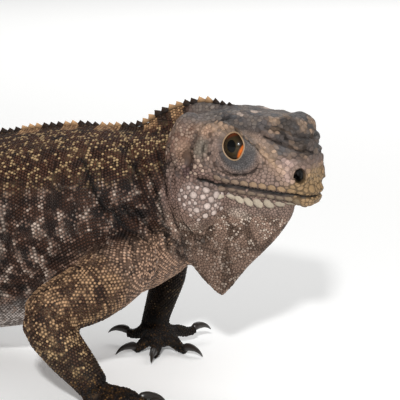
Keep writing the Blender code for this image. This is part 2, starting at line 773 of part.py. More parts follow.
def plant_crest(nodes, group):
    """Sets the spines of the crest, each fused to the node below it."""
    line = crest_line()
    planted = {}
    run, due = 0.0, 2.0
    for before, here in zip(line, line[1:]):
        run += (here - before).length
        if run < due or run > CREST_LENGTH:
            continue
        ahead = (before - here).normalized()
        share = run / CREST_LENGTH
        height, length, width = spine_size(here.x, share)
        due = run + length + (-SPINE_OVERLAP if here.x > TAIL_START[0] else TAIL_SPINE_GAP)
        near, front = top_of(nodes, here + ahead * (length / 2 + ROOT_MARGIN))
        far, back = top_of(nodes, here - ahead * (length / 2 + ROOT_MARGIN))
        if near is None or near != far:
            continue
        slope = Vector((*(ahead.xy * (length + 2 * ROOT_MARGIN)), front - back)).normalized()
        rise = (Vector((0, 0, 1)) - slope * slope.z).normalized()
        foot = Vector((here.x, here.y, (front + back) / 2))
        planted.setdefault(near, []).append(spine(foot, slope, rise, height, length, width, group))
    for name, spines in planted.items():
        held = collection("crest")
        for piece in spines:
            group.objects.unlink(piece)
            held.objects.link(piece)
        join = nodes[name].modifiers.new("Crest", "BOOLEAN")
        join.operation = "UNION"
        join.solver = "EXACT"
        join.operand_type = "COLLECTION"
        join.collection = held
        bake(nodes[name])
        for piece in spines:
            bpy.data.objects.remove(piece, do_unlink=True)
        bpy.data.collections.remove(held)
        largest_part(nodes[name])


def spine_size(x, share):
    """Height, base length and width of a spine, tallest on the nape and lowest down the tail."""
    if x > BACK_STARTS:
        return NAPE_SPINE
    if x > TAIL_START[0]:
        return BACK_SPINE
    left = 1.0 - 0.6 * float(smooth(share))
    return tuple(size * left for size in TAIL_SPINE)


def finish(obj, kind):
    """Gives a node its own material and smooth shading."""
    colour, roughness = FINISHES[kind]
    surface = bpy.data.materials.new(f"{obj.name}_{kind}")
    surface.use_nodes = True
    principled = surface.node_tree.nodes["Principled BSDF"]
    principled.inputs["Base Color"].default_value = (*colour, 1.0)
    principled.inputs["Roughness"].default_value = roughness
    principled.inputs["Metallic"].default_value = 0.0
    surface.diffuse_color = (*colour, 1.0)
    obj.data.materials.clear()
    obj.data.materials.append(surface)
    for face in obj.data.polygons:
        face.use_smooth = True
    obj.data.set_sharp_from_angle(angle=math.radians(38))


def kind_of(name):
    if name.startswith("claw"):
        return "claw"
    if name.startswith("eye"):
        return "eye"
    return "face" if name in ("head", "dewlap") else "hide"


def centre_on_floor(nodes):
    """Moves the whole animal so that the middle of its box's underside is the origin."""
    corners = np.array([vertex.co for node in nodes.values() for vertex in node.data.vertices])
    low, high = corners.min(0), corners.max(0)
    shift = Vector((-(low[0] + high[0]) / 2, -(low[1] + high[1]) / 2, -low[2]))
    for node in nodes.values():
        node.data.transform(Matrix.Translation(shift))
    return shift


def main():
    clear_scene()
    parts = collection("blue_iguana")
    nodes = make_head(parts)
    nodes.update(make_body(parts))
    for name in FEET:
        nodes.update(make_foot(name, parts))
    nodes.update(make_tail(parts))
    plant_crest({name: nodes[name] for name in nodes if name in CRESTED or "tail" in name}, parts)
    shift = centre_on_floor(nodes)
    for name, node in nodes.items():
        finish(node, kind_of(name))
    return shift


if __name__ == "__main__":
    main()
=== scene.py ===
"""Looks of a life-size still of a Grand Cayman blue iguana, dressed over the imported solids.

Sizes are in millimetres and MM turns them into metres. Places of the body are written in the
same frame as the solids' own source: x forward, y to the animal's left, z up, and places of
the head in the head's own frame: x forward from the back of the jaw, z up from the mouth.
"""

import math

import bmesh
import bpy
import numpy as np
from mathutils import Euler, Matrix, Vector, noise
from mathutils.bvhtree import BVHTree
from mathutils.kdtree import KDTree


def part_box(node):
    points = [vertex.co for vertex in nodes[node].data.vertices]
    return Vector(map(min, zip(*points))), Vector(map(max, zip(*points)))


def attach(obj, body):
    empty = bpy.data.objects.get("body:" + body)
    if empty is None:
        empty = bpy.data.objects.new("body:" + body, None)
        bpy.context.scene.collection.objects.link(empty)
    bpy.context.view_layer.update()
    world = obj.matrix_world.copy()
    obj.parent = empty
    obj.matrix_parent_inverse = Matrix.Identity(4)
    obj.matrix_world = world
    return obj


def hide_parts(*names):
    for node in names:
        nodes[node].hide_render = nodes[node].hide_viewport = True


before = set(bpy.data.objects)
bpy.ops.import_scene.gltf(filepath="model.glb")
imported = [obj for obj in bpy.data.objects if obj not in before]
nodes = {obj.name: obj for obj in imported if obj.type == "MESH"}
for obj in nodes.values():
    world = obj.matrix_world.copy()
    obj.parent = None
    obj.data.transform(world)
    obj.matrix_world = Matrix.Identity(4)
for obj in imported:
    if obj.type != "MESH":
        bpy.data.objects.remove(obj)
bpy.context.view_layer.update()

MM = 0.001
SEED = 7
rng = np.random.default_rng(SEED)

# The head's place and turn, and the eye in the head's frame.
HEAD_PLACE = (25.0, 0.0, 121.0)
HEAD_TURN = (2.0, 6.0, -9.6)
EYE = (40.0, 18.4, 22.5)
EYE_RADIUS = 8.4
EYE_SHIFT = (-1.0, 0.0, 0.2)
NOSTRIL = (75.6, 13.6, 11.4)
NOSTRIL_WAY = (0.60, 0.79, 0.06)
NOSTRIL_HALF = (2.7, 3.5)
NOSTRIL_DEPTH = 4.5
EAR = (12.0, 29.5, 12.0)

# How far the node copies grow before they melt into one skin, and how far the skin then sinks.
GROW = 0.35
COAT_DEPTH = 0.45
SKIN_VOXEL = 1.45
SKIN_TRIANGLES = 188000

LIMB_NAMES = ("front_left", "front_right", "hind_left", "hind_right")
TAIL_NAMES = tuple(f"tail_{k}" for k in range(1, 7))
TRUNK_NAMES = ("neck", "shoulders", "chest", "belly", "pelvis", "rump")
FLESH = (("head", "dewlap") + TRUNK_NAMES + TAIL_NAMES
         + tuple(f"{limb}_{half}" for limb in LIMB_NAMES for half in ("upper", "lower"))
         + tuple(f"foot_{limb}" for limb in LIMB_NAMES))

# Cross-sections of the trunk: x, height of the centre, half-width, reach up, reach down.
TRUNK = (
    (-330, 28, 17, 19, 19),
    (-278, 39, 26, 25, 26),
    (-246, 48, 37, 33, 34),
    (-210, 57, 48, 42, 44),
    (-165, 65, 59, 50, 54),
    (-120, 72, 64, 58, 58),
    (-75, 80, 63, 59, 57),
    (-35, 87, 57, 56, 51),
    (-8, 91, 47, 51, 46),
    (14, 98, 36, 48, 41),
    (30, 106, 25, 42, 35),
    (44, 112, 19, 34, 26),
)

# The middle of the fleshy blade along the nape, seen from above.
NAPE = ((60, -6), (47, -3), (37, -1), (27, 0), (17, 0), (7, 0), (-3, 0), (-16, 0))

# Each limb: its joints from the root to the wrist or ankle, with the radius at each.
LIMBS = {
    "front_right": ((-4, -26, 79, 17), (0, -44, 71, 19), (-11, -66, 59, 18),
                    (-29, -86, 48.5, 14), (-18, -91, 34, 13), (-4, -91, 19, 10.5), (2, -90, 11, 9)),
    "front_left": ((-4, 26, 82, 17), (0, 46, 74, 18), (-10, 66, 65, 15),
                   (-20, 84, 54, 12.5), (-19, 76, 40, 11.5), (-20, 65, 26, 9.5), (-21, 56, 13, 8.5)),
    "hind_right": ((-222, -24, 58, 21), (-212, -46, 56, 23), (-188, -76, 54, 19),
                   (-166, -100, 48, 15), (-188, -109, 38, 13.5), (-214, -118, 24, 9.5), (-226, -122, 13, 8)),
    "hind_left": ((-222, 24, 58, 21), (-214, 46, 56, 23), (-194, 78, 54, 19),
                  (-176, 104, 48, 15), (-198, 113, 38, 13.5), (-224, 121, 24, 9.5), (-236, 125, 13, 8)),
}

# The tail's line on the floor.
TAIL_START = (-306.0, 0.0, 33.0)
TAIL_LENGTH = 545.0
TAIL_SWING = 74.0
TAIL_ROOT = (19.0, 20.5)
TAIL_TIP = 2.0
TAIL_LOWERS = 105.0


def smooth(t):
    """Rises from 0 to 1 with no corner at either end."""
    t = np.clip(t, 0.0, 1.0)
    return t * t * (3.0 - 2.0 * t)


def flowing(rows, steps):
    """Rows of numbers joined by a smooth curve, with this many steps from each row to the next."""
    rows = np.array(rows, float)
    padded = np.vstack([2 * rows[0] - rows[1], rows, 2 * rows[-1] - rows[-2]])
    out = []
    for before, here, there, after in zip(padded, padded[1:], padded[2:], padded[3:]):
        for t in np.arange(steps) / steps:
            out.append(0.5 * (2 * here + (there - before) * t
                              + (2 * before - 5 * here + 4 * there - after) * t * t
                              + (3 * here - before - 3 * there + after) * t ** 3))
    out.append(rows[-1])
    return np.array(out)


def frames_from_eyes():
    """The frames of the body and of the head, in the row's millimetres, found from the two eye solids."""
    turn = Euler([math.radians(a) for a in HEAD_TURN]).to_matrix().to_4x4()
    head = Matrix.Translation(HEAD_PLACE) @ turn
    corners = [corner for name in ("eye_left", "eye_right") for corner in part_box(name)]
    between = sum(corners, Vector()) / len(corners) / MM
    body = Matrix.Translation(between - head @ Vector((EYE[0], 0.0, EYE[2])))
    return body, body @ head


BODY, HEAD = frames_from_eyes()
BODY_BACK = np.array(BODY.inverted())
HEAD_BACK = np.array(HEAD.inverted())


def in_frame(places, back):
    """Places of the row, in millimetres, seen from a frame."""
    return places @ back[:3, :3].T + back[:3, 3]


def mirrored(place, hand):
    """A place of the animal's left side, or its mirror on the right where hand is 1."""
    x, y, z = place
    return (x, -y, z) if hand else (x, y, z)


def tail_reach(share):
    """Half the tail's height, this share of its length from its root."""
    return TAIL_TIP + (TAIL_ROOT[1] - TAIL_TIP) * (1 - share) ** 1.05


def tail_line():
    """Places along the middle of the tail in the body's frame, a millimetre apart."""
    place = Vector((TAIL_START[0], TAIL_START[1], 0.0))
    line = []
    for step in range(int(TAIL_LENGTH) + 1):
        share = step / TAIL_LENGTH
        angle = math.radians(180.0 - TAIL_SWING * float(smooth(share * 0.9 + 0.02)))
        tall = tail_reach(share)
        down = float(smooth(step / TAIL_LOWERS))
        middle = (TAIL_START[2] - TAIL_ROOT[1]) * (1 - down) + tall * (1 - 0.15 * down)
        line.append((place.x, place.y, middle))
        place += Vector((math.cos(angle), math.sin(angle), 0.0))
    return line


def crest_line():
    """Places along the middle of the back and tail, seen from above, about a millimetre apart."""
    line = [(x, y) for x, y in flowing(NAPE, 12)]
    x = line[-1][0]
    while x > TAIL_START[0]:
        x -= 1.0
        line.append((x, 0.0))
    return line + [(x, y) for x, y, _ in tail_line()[1:]]


def points_of(mesh):
    """The points of a mesh, in millimetres."""
    flat = np.empty(len(mesh.vertices) * 3, np.float32)
    mesh.vertices.foreach_get("co", flat)
    return flat.reshape(-1, 3).astype(float) / MM


def normals_of(mesh):
    """The outward way of each point of a mesh."""
    flat = np.empty(len(mesh.vertices) * 3, np.float32)
    mesh.vertex_normals.foreach_get("vector", flat)
    return flat.reshape(-1, 3).astype(float)


def move_points(mesh, points):
    """Puts the points of a mesh at places in millimetres."""
    mesh.vertices.foreach_set("co", (points * MM).astype(np.float32).ravel())
    mesh.update()


def new_object(name, data):
    """An object in the scene, at the origin and unturned."""
    obj = bpy.data.objects.new(name, data)
    bpy.context.scene.collection.objects.link(obj)
    return obj


def object_of(name, shape):
    """A new object that takes over a bmesh."""
    mesh = bpy.data.meshes.new(name)
    shape.to_mesh(mesh)
    shape.free()
    return new_object(name, mesh)


def tree_of(places):
    """A tree that finds the nearest of some places, by their order."""
    tree = KDTree(len(places))
    for k, place in enumerate(places):
        tree.insert(place, k)
    tree.balance()
    return tree


def bake(obj):
    """Applies an object's modifiers to its mesh."""
    bpy.context.view_layer.update()
    graph = bpy.context.evaluated_depsgraph_get()
    made = bpy.data.meshes.new_from_object(obj.evaluated_get(graph))
    obj.modifiers.clear()
    old, obj.data = obj.data, made
    bpy.data.meshes.remove(old)
    return obj


class Clay:
    """The points of a mesh, in millimetres in a frame, moved by soft brushes."""

    def __init__(self, obj, place):
        self.obj = obj
        self.out = np.array(place)
        self.points = in_frame(points_of(obj.data), np.linalg.inv(self.out))
        self.normals = normals_of(obj.data) @ self.out[:3, :3]

    def swell(self, centre, reach, amount):
        """Pushes out, or in where amount is negative, within an ellipsoid."""
        near = (((self.points - np.array(centre)) / np.array(reach)) ** 2).sum(1)
        share = np.where(near < 1.0, (1.0 - near) ** 2, 0.0)
        self.points += self.normals * (share * amount)[:, None]

    def done(self):
        """Gives the moved points back to the mesh."""
        move_points(self.obj.data, self.points @ self.out[:3, :3].T + self.out[:3, 3])


def away_from(points, line):
    """The square of each point's distance from a line of places."""
    nearest = np.full(len(points), np.inf)
    close = ((points > line.min(0) - 15) & (points < line.max(0) + 15)).all(1)
    some = points[close]
    best = np.full(len(some), np.inf)
    for start, end in zip(line, line[1:]):
        run = end - start
        t = np.clip((some - start) @ run / max(run @ run, 1e-9), 0.0, 1.0)
        best = np.minimum(best, ((some - start - t[:, None] * run) ** 2).sum(1))
    nearest[close] = best
    return nearest


def surface_of(mesh):
    """A mesh to cast rays at, in millimetres."""
    faces = [tuple(face.vertices) for face in mesh.polygons]
    return BVHTree.FromPolygons([tuple(p) for p in points_of(mesh)], faces)


def merged_nodes(names):
    """A bmesh of some nodes, each merged and grown a little so that the gaps between them close."""
    whole = bmesh.new()
    for name in names:
        piece = bmesh.new()
        piece.from_mesh(nodes[name].data)
        bmesh.ops.remove_doubles(piece, verts=piece.verts, dist=1e-6)
        piece.normal_update()
        for vertex in piece.verts:
            vertex.co += vertex.normal * GROW * MM
        mesh = bpy.data.meshes.new("grown")
        piece.to_mesh(mesh)
        piece.free()
        whole.from_mesh(mesh)
        bpy.data.meshes.remove(mesh)
    return whole


# The closed lids are a ball of this radius round each eye, melted into the skin.
LID_RADIUS = EYE_RADIUS + 1.4


def raw_skin():
    """The flesh solids melted into one skin, with a closed lid over each eye."""
    whole = merged_nodes(FLESH)
    for hand in (0, 1):
        bmesh.ops.create_uvsphere(whole, u_segments=40, v_segments=24, radius=LID_RADIUS * MM,
                                  matrix=Matrix.Translation(gaze(hand).translation * MM))
    skin = object_of("skin", whole)
    melt = skin.modifiers.new("Melt", "REMESH")
    melt.mode = "VOXEL"
    melt.voxel_size = SKIN_VOXEL * MM
    soften = skin.modifiers.new("Soften", "SMOOTH")
    soften.factor = 0.5
    soften.iterations = 3
    return bake(skin)


def moving(values, reach, pick):
    """The least or greatest of each value and its neighbours within reach."""
    padded = np.pad(values, reach, mode="edge")
    return pick([padded[k:k + len(values)] for k in range(2 * reach + 1)], axis=0)


def crest_heights(skin, reach):
    """The height of the flesh under the crest: the skin's height with its narrow peaks taken off."""
    tree = surface_of(skin.data)
    line = np.array([BODY @ Vector((x, y, 0.0)) for x, y in crest_line()])
    heights = []
    for x, y, _ in line:
        place = tree.ray_cast(Vector((x, y, 400.0)), Vector((0, 0, -1)))[0]
        heights.append(place.z if place else (heights[-1] if heights else 0.0))
    opened = moving(moving(np.array(heights), reach, np.min), reach, np.max)
    for _ in range(2):
        opened = moving(opened, 3, np.mean)
    line[:, 2] = opened
    return line


def shave_crest(skin):
    """Takes the coarse spines off the skin, and gives back the line they stood on."""
    line = crest_heights(skin, 4)
    tree = tree_of([(x, y, 0.0) for x, y, _ in line])
    points = points_of(skin.data)
    for k, (x, y, z) in enumerate(points):
        _, nearest, apart = tree.find((x, y, 0.0))
        if apart < 4.5 and 0 < z - line[nearest][2]:
            points[k][2] = line[nearest][2]
    move_points(skin.data, points)
    return line


def finer_head(skin):
    """Splits the head's faces once, so that its small forms can be cut."""
    shape = bmesh.new()
    shape.from_mesh(skin.data)
    back = Matrix(HEAD_BACK.tolist())

    def on_head(face):
        """Whether a face belongs to the head and its throat."""
        x, _, z = back @ (face.calc_center_median() / MM)
        return x > -12 and z > -40

    edges = {edge for face in shape.faces if on_head(face) for edge in face.edges}
    bmesh.ops.subdivide_edges(shape, edges=list(edges), cuts=1, use_grid_fill=True, smooth=0.0)
    shape.to_mesh(skin.data)
    shape.free()


# How wide and deep the mouth is cut, along the lips and at its corner.
LIP_CUT = (0.85, -1.8)
CORNER_CUT = (1.5, -2.2)
# The lines of the mouth on each side, from the front back: the lips, and the curl of the corner.
MOUTH_CORNER = ((30, 26.4, -0.4), (28, 27, -0.2), (24, 28.4, 1.1), (19.6, 29.6, 1.9))
LIPS = ((82, 1.5, -0.8), (80, 6, -0.7), (76, 9, -0.4), (71, 11.6, -0.7), (65, 14.4, -0.9), (59, 16, -0.8),
        (52, 17.6, -0.6), (45, 20, -0.3), (38, 22.6, 0), (32, 25.6, -0.5))
# Creases and ridges of each side of the head: places, width, height where positive.
HEAD_LINES = (
    (((78.4, 4.6, 1.4), (72, 12.4, 1.4), (65, 15.5, 1.6), (52, 19.2, 1.8), (40, 22.6, 2.2),
      (31, 27, 2.8)), 1.1, 0.6),
    (((76, 4, -3.8), (68, 11.6, -3.4), (59, 14.8, -3.4), (48, 17.8, -3.2), (36, 23, -2.2)), 1.3, 0.5),
    (((72, 6, -6.4), (66, 10.6, -6.0), (56, 14.2, -6.2), (44, 17.6, -6.2), (34, 21, -5.4)), 0.9, -1.0),
    (((71.9, 16.3, 14.6), (72.5, 14.6, 17.2), (75.8, 11.5, 18.4), (78.3, 7.2, 16), (78.6, 8.6, 10.5),
      (76.3, 14.1, 6.6), (71.9, 13.6, 7.0), (70.6, 15.6, 10.5), (71.9, 16.3, 14.6)), 1.2, 1.1),
    (((26, 28, 5), (20, 29.6, 5.6), (14, 30.6, 8.2)), 1.3, 0.9),
    (((0.5, 28, 18), (5.4, 30, 8), (6, 30, 0), (8.5, 30, -10), (11.4, 29, -18), (13.5, 26, -26.6),
      (16.4, 20, -34)), 2.0, 1.2),
    (((52, 22, 26), (60, 19, 21), (68, 16, 16)), 1.5, -0.9),
    (((56, 18, 33), (64, 16, 30), (73, 12, 27), (78, 5, 25)), 1.3, -1.9),
    (((55, 19, 29.5), (63, 17, 26.8), (72, 13, 24), (77, 6, 22.5)), 1.1, 0.9),
    (((58, 16.4, 36.5), (66, 14.6, 33.4), (74, 9.6, 30.5), (77, 3, 29.6)), 1.1, 0.9),
    (((52, 19.6, 35.6), (58, 17.6, 33.6), (64, 15.6, 32.4)), 1.1, -1.3),
    (((58, 15, 39.5), (66, 13, 35.6), (74, 8, 32.6), (76, 2, 32)), 1.3, -1.4),
    (((60, 19, 25), (68, 16, 21.4), (75, 11, 19.6)), 1.2, 0.9),
    (((30, 29, 20), (28, 29, 13), (32, 28.5, 8), (40, 26.5, 5.5), (50, 23, 8), (54, 21.4, 12.5)), 1.2, -1.5),
    (((26, 27, 28), (24, 29, 20), (25, 30, 12)), 1.3, -1.3),
    (((0, 27, 31), (-1, 30, 22), (1, 31, 12)), 1.4, -1.0),
    (((16.5, 27, 27), (14.6, 28.4, 20), (13.6, 29.5, 13), (14.5, 29.5, 8)), 1.4, -1.6),
    (((1, 27, 22), (1.5, 29, 14), (4, 30, 7), (9, 30.5, 3)), 1.5, -1.4),
    (((17, 25, 30), (22, 22, 34.5), (30, 19, 37.5)), 1.5, -1.1),
    (((62, 19, 17.5), (67, 17.2, 20), (72, 14, 21.6), (77, 7, 22.6)), 1.1, -1.1),
    (((2.4, 29, 10), (1.7, 28.5, 2.2), (4.5, 29, -9.8), (7.2, 28.2, -16.9), (9.1, 25.3, -25.9),
      (11.9, 20.1, -32.2), (16.5, 10.2, -37.3)), 1.7, -3.6),
    (((30, 25, 31.5), (37, 25.5, 31.8), (43, 24.5, 29.8), (48, 23, 25.8), (52.5, 21.5, 21),
      (56, 20.6, 16.5)), 1.0, -1.5),
    (((31, 27, 15.5), (35, 26.4, 11.6), (41, 25, 9.8), (47, 23.4, 11), (51.5, 21.8, 15)), 0.8, -0.9),
    (((29.6, 27.4, 13), (34, 26.4, 9.4), (41, 24.6, 7.8), (48, 22.6, 9), (53.4, 20.8, 13.4)), 0.8, 0.5),
    (((27.3, 22.5, 35), (32.4, 23, 34), (37.3, 23.7, 33), (42.2, 24.5, 31.5), (46.5, 23.8, 29),
      (49.7, 22.4, 26.5), (53, 21.2, 24), (56.3, 21.1, 21.6), (59.4, 20.8, 19.8)), 1.5, 1.5),
    (((34, 12, -26), (30, 9, -40), (26, 6, -54)), 1.6, -0.7),
    (((44, 11, -26), (38, 8, -40), (31, 5, -54)), 1.6, -0.7),
    (((22, 13, -30), (20, 9, -44), (20, 5, -56)), 1.6, -0.7),
    (((54, 13, -18), (44, 16, -20), (34, 17, -22)), 1.8, -0.7),
)
# Lumps and hollows of each side of the head: centre, reach, height where positive.
HEAD_LUMPS = (
    ((78, 0, -1), (9, 10, 7), 0.8),
    ((72, 0, -6), (10, 9, 6), 1.0),
    ((60, 11, -7), (12, 6, 5), 0.8),
    ((7.2, 29.5, 13.5), (6, 8, 7), 1.5),
    ((9.5, 28.5, 20.5), (6, 8, 7), 1.6),
    ((13, 26.8, 26), (5, 7, 5), 1.2),
    ((20, 28, 20.5), (5, 7, 7), 1.1),
    ((23.5, 27, 28), (3.6, 5, 3.6), 1.1),
    ((26.5, 26, 31.5), (3.4, 5, 3.2), 0.9),
    ((64, 11, 38.5), (5, 5, 4), -1.2),
    ((73, 10, 28.5), (6, 7, 3), -0.9),
    (NOSTRIL, (8, 8, 8), 0.7),
    (EAR, (4.5, 7, 7.5), -1.6),
    ((4, 29, 21), (6, 8, 9), 0.9),
    ((4, 25, 28.5), (4, 5, 4), 0.9),
    ((30, 26, 33), (8, 6, 5), 0.7),
    ((22, 14, 38), (7, 6, 5), 0.9),
    ((36, 9, 42), (7, 5, 5), 0.9),
    ((50, 12, 42), (6, 5, 5), 0.9),
    ((62, 7, 43), (5, 5, 5), 0.9),
    ((70, 9, 37), (4, 5, 5), 0.8),
)

# Folds of the trunk and shoulders in the body's frame, read the same way.
BODY_LINES = (
    (((-24, 40, 128), (-14, 47, 112), (-2, 44, 96), (10, 38, 82)), 2.4, -1.8),
    (((2, 32, 132), (12, 34, 115), (18, 33, 98), (24, 26, 80)), 2.2, -1.9),
    (((-46, 60, 78), (-34, 62, 68), (-30, 66, 58)), 2.4, -1.5),
    (((4, 48, 92), (9, 52, 80), (8, 58, 68)), 2.0, -1.3),
    (((12.7, 22.8, 134), (16.9, 26.7, 128), (20.5, 27.9, 121), (23.1, 28.6, 112.5)), 1.8, -1.5),
    (((2, 42, 103), (8.1, 38.4, 97.3), (13.8, 32.9, 91.6), (19.3, 28.3, 85.5), (23.8, 21.1, 78.2),
      (27, 13, 71)), 2.4, -2.8),
    (((14.5, 32, 91), (16, 30.6, 87), (17.5, 28.2, 82), (19, 25.3, 77.4)), 1.6, 1.2),
    (((27.9, 23.8, 91), (26.9, 19.6, 82.8), (24.4, 6, 67.3)), 1.7, -1.3),
    (((31.2, 11.8, 77.6), (35.4, 7.6, 75.3), (41.9, 7.5, 74.1)), 1.4, -1.2),
    (((-60, 62, 52), (-100, 62, 44), (-150, 58, 36)), 3.0, -1.6),
    (((-64, 63, 96), (-67, 65, 78), (-64, 62, 58)), 2.4, -1.1),
    (((-84, 63, 98), (-88, 66, 78), (-85, 63, 56)), 2.4, -1.2),
    (((-106, 63, 96), (-111, 66, 74), (-107, 63, 52)), 2.4, -1.2),
    (((-130, 62, 92), (-136, 64, 70), (-132, 62, 48)), 2.4, -1.2),
    (((-156, 60, 86), (-162, 61, 66), (-158, 58, 46)), 2.4, -1.1),
    (((-190, 54, 82), (-198, 56, 70), (-204, 58, 58)), 2.6, -1.4),
    (((-240, 38, 62), (-246, 40, 48), (-240, 42, 36)), 2.6, -1.3),
)

# The opening between the lids: how far it turns forward and up, its half-angles, and its lean back.
RIM_RADIUS = 0.42
RIM_REACH = EYE_RADIUS + 0.6
LID_TURN = -4.0
LID_RISE = 7.0
LID_ANGLES = (46.0, 59.0)
LID_LEAN = 11.0


def gaze(hand):
    """The eye's own frame in the row's millimetres: y up and z out through the lids."""
    turn, lean = math.radians(LID_TURN), math.radians(LID_LEAN)
    side = -1.0 if hand else 1.0
    rise = math.radians(LID_RISE)
    out = Vector((math.sin(turn), side * math.cos(turn), math.tan(rise))).normalized()
    up = Vector((-math.sin(lean) * math.cos(turn), math.sin(lean) * math.sin(turn) * side, math.cos(lean)))
    up = (up - out * up.dot(out)).normalized()
    back = up.cross(out)
    local = Matrix((back, up, out)).transposed().to_4x4()
    return HEAD @ Matrix.Translation(mirrored(Vector(EYE) + Vector(EYE_SHIFT), hand)) @ local


def lid_angle(around, open_by=0.0):
    """How far the lids' edge is from the middle of the gaze, in radians, round the eye."""
    wide, tall = (math.radians(a + open_by) for a in LID_ANGLES)
    pinch = 1.0 + 0.10 * np.abs(np.cos(around)) ** 6
    return pinch / np.sqrt((np.cos(around) / wide) ** 2 + (np.sin(around) / tall) ** 2)


def lid_edge(hand, around, reach):
    """A place on the edge of the lids, this far from the eye's middle."""
    angle = float(lid_angle(around))
    local = Vector((math.sin(angle) * math.cos(around), math.sin(angle) * math.sin(around), math.cos(angle)))
    return gaze(hand) @ (local * reach)


def eye_angles(points, hand):
    """The distance of each point from the eye's middle, its angle off the gaze, and its angle round it."""
    local = in_frame(points, np.linalg.inv(np.array(gaze(hand))))
    apart = np.linalg.norm(local, axis=1)
    off = np.arccos(np.clip(local[:, 2] / np.maximum(apart, 1e-6), -1, 1))
    return apart, off, np.arctan2(local[:, 1], local[:, 0])


def on_skin(path, hand, place, surface, steps=6):
    """A curved line of one side laid on the skin, in the row's millimetres."""
    spots = [place @ Vector(mirrored(spot, hand)) for spot in flowing(path, steps)]
    return np.array([surface.find_nearest(spot)[0] for spot in spots])


def beside_skin(path, hand, surface, steps=5):
    """A curved line of one side of the head, laid on the skin level with its own height."""
    line = []
    for x, y, z in flowing(path, steps):
        place = HEAD @ Vector(mirrored((x, y, z), hand))
        middle = HEAD @ Vector((x - 0.45 * (24 - y), 0.0, z))
        line.append(surface.ray_cast(middle, (place - middle).normalized())[0] or place)
    return np.array(line)


# Which folds are deep enough to get painted shade, how dark it is by their depth, and the darkest of all.
DEEP_FOLD = -0.75
FOLD_PAINTED_SHADE = 0.48
FOLD_SHADE_DARKEST = 0.16


class Folds:
    """The creases and ridges of the skin as lines that lie on it, and the lines of the mouth."""

    def __init__(self, skin):
        surface = surface_of(skin.data)
        self.lines = [(on_skin(path, hand, place, surface), width, amount)
                      for lines, place in ((HEAD_LINES, HEAD), (BODY_LINES, BODY))
                      for path, width, amount in lines for hand in (0, 1)]
        self.mouth = [beside_skin(path, hand, surface) for path in (LIPS, MOUTH_CORNER) for hand in (0, 1)]
        cuts = (LIP_CUT, LIP_CUT, CORNER_CUT, CORNER_CUT)
        self.lines += [(line, *cut) for line, cut in zip(self.mouth, cuts)]

    def shade(self, row):
        """Less than 1 in the deep folds: painted shade that darkens the colours laid there."""
        shade = np.ones(len(row))
        for line, width, amount in self.lines:
            if amount < DEEP_FOLD:
                shade -= min(0.85, -amount * FOLD_PAINTED_SHADE) * np.exp(-away_from(row, line) / (width * 0.75) ** 2)
        return np.maximum(shade, FOLD_SHADE_DARKEST)

    def mouth_near(self, row):
        """1 on the line of the mouth, and nothing two millimetres from it: where its painted shade lies."""
        return sum(np.exp(-away_from(row, line) / 1.1) for line in self.mouth)


def nostril_share(place):
    """How far each place of the head is from the middle of its nostril: 1 on the edge of the hole."""
    local = place.copy()
    local[:, 1] = np.abs(local[:, 1])
    gap = local - np.array(NOSTRIL)
    way = np.array(NOSTRIL_WAY) / np.linalg.norm(NOSTRIL_WAY)
    deep = gap @ way
    flat = gap - deep[:, None] * way
    across = np.hypot(flat[:, 0], flat[:, 1])
    share = np.sqrt((across / NOSTRIL_HALF[0]) ** 2 + (flat[:, 2] / NOSTRIL_HALF[1]) ** 2)
    return np.where(np.abs(deep) < 8, share, 9.0)


def sculpt(skin):
    """The folds of the skin, the lips, lids, nostrils and ears."""
    clay = Clay(skin, HEAD)
    for hand in (0, 1):
        for centre, reach, amount in HEAD_LUMPS:
            clay.swell(mirrored(centre, hand), reach, amount)
    clay.done()
    points, normals = points_of(skin.data), normals_of(skin.data)
    place = in_frame(points, HEAD_BACK)
    outward = np.stack([np.full(len(place), NOSTRIL_WAY[0]), np.sign(place[:, 1]) * NOSTRIL_WAY[1],
                        np.full(len(place), NOSTRIL_WAY[2])], axis=1) @ np.array(HEAD)[:3, :3].T
    pit = smooth((1.2 - nostril_share(place)) / 0.5)
    points -= outward * (NOSTRIL_DEPTH * pit)[:, None]
    for line, width, amount in Folds(skin).lines:
        points += normals * (amount * np.exp(-away_from(points, line) / width ** 2))[:, None]
    move_points(skin.data, points)


def sink(skin):
    """Draws the skin in by the growth of the node copies and the coat's depth, less at the lids."""
    points, normals = points_of(skin.data), normals_of(skin.data)
    near = np.minimum(*(eye_angles(points, hand)[0] for hand in (0, 1)))
    share = smooth((near - LID_RADIUS - 0.5) / 2.5)
    points -= normals * ((GROW + COAT_DEPTH) * (0.35 + 0.65 * share))[:, None]
    points[:, 2] = np.maximum(points[:, 2], 0.05)
    move_points(skin.data, points)


def open_lids(skin):
    """Removes the skin over each eye, inside the edge of its lids."""
    shape = bmesh.new()
    shape.from_mesh(skin.data)
    points = points_of(skin.data)
    inside = np.zeros(len(points), bool)
    for hand in (0, 1):
        apart, off, around = eye_angles(points, hand)
        inside |= (apart < LID_RADIUS + 4) & (off < lid_angle(around))
    shape.verts.ensure_lookup_table()
    gone = [shape.verts[k] for k in np.flatnonzero(inside)]
    bmesh.ops.delete(shape, geom=gone, context="VERTS")
    edges = [edge for edge in shape.edges if edge.is_boundary]
    rim = {}
    for vertex in (vertex for edge in edges for vertex in edge.verts if vertex not in rim):
        place = np.array(vertex.co / MM)[None]
        hand = int(eye_angles(place, 1)[0][0] < eye_angles(place, 0)[0][0])
        around = float(eye_angles(place, hand)[2][0])
        rim[vertex] = shape.verts.new(lid_edge(hand, around, RIM_REACH - 0.1) * MM)
    for edge in edges:
        start, end = edge.link_loops[0].vert, edge.link_loops[0].link_loop_next.vert
        shape.faces.new((end, start, rim[start], rim[end]))
    shape.to_mesh(skin.data)
    shape.free()


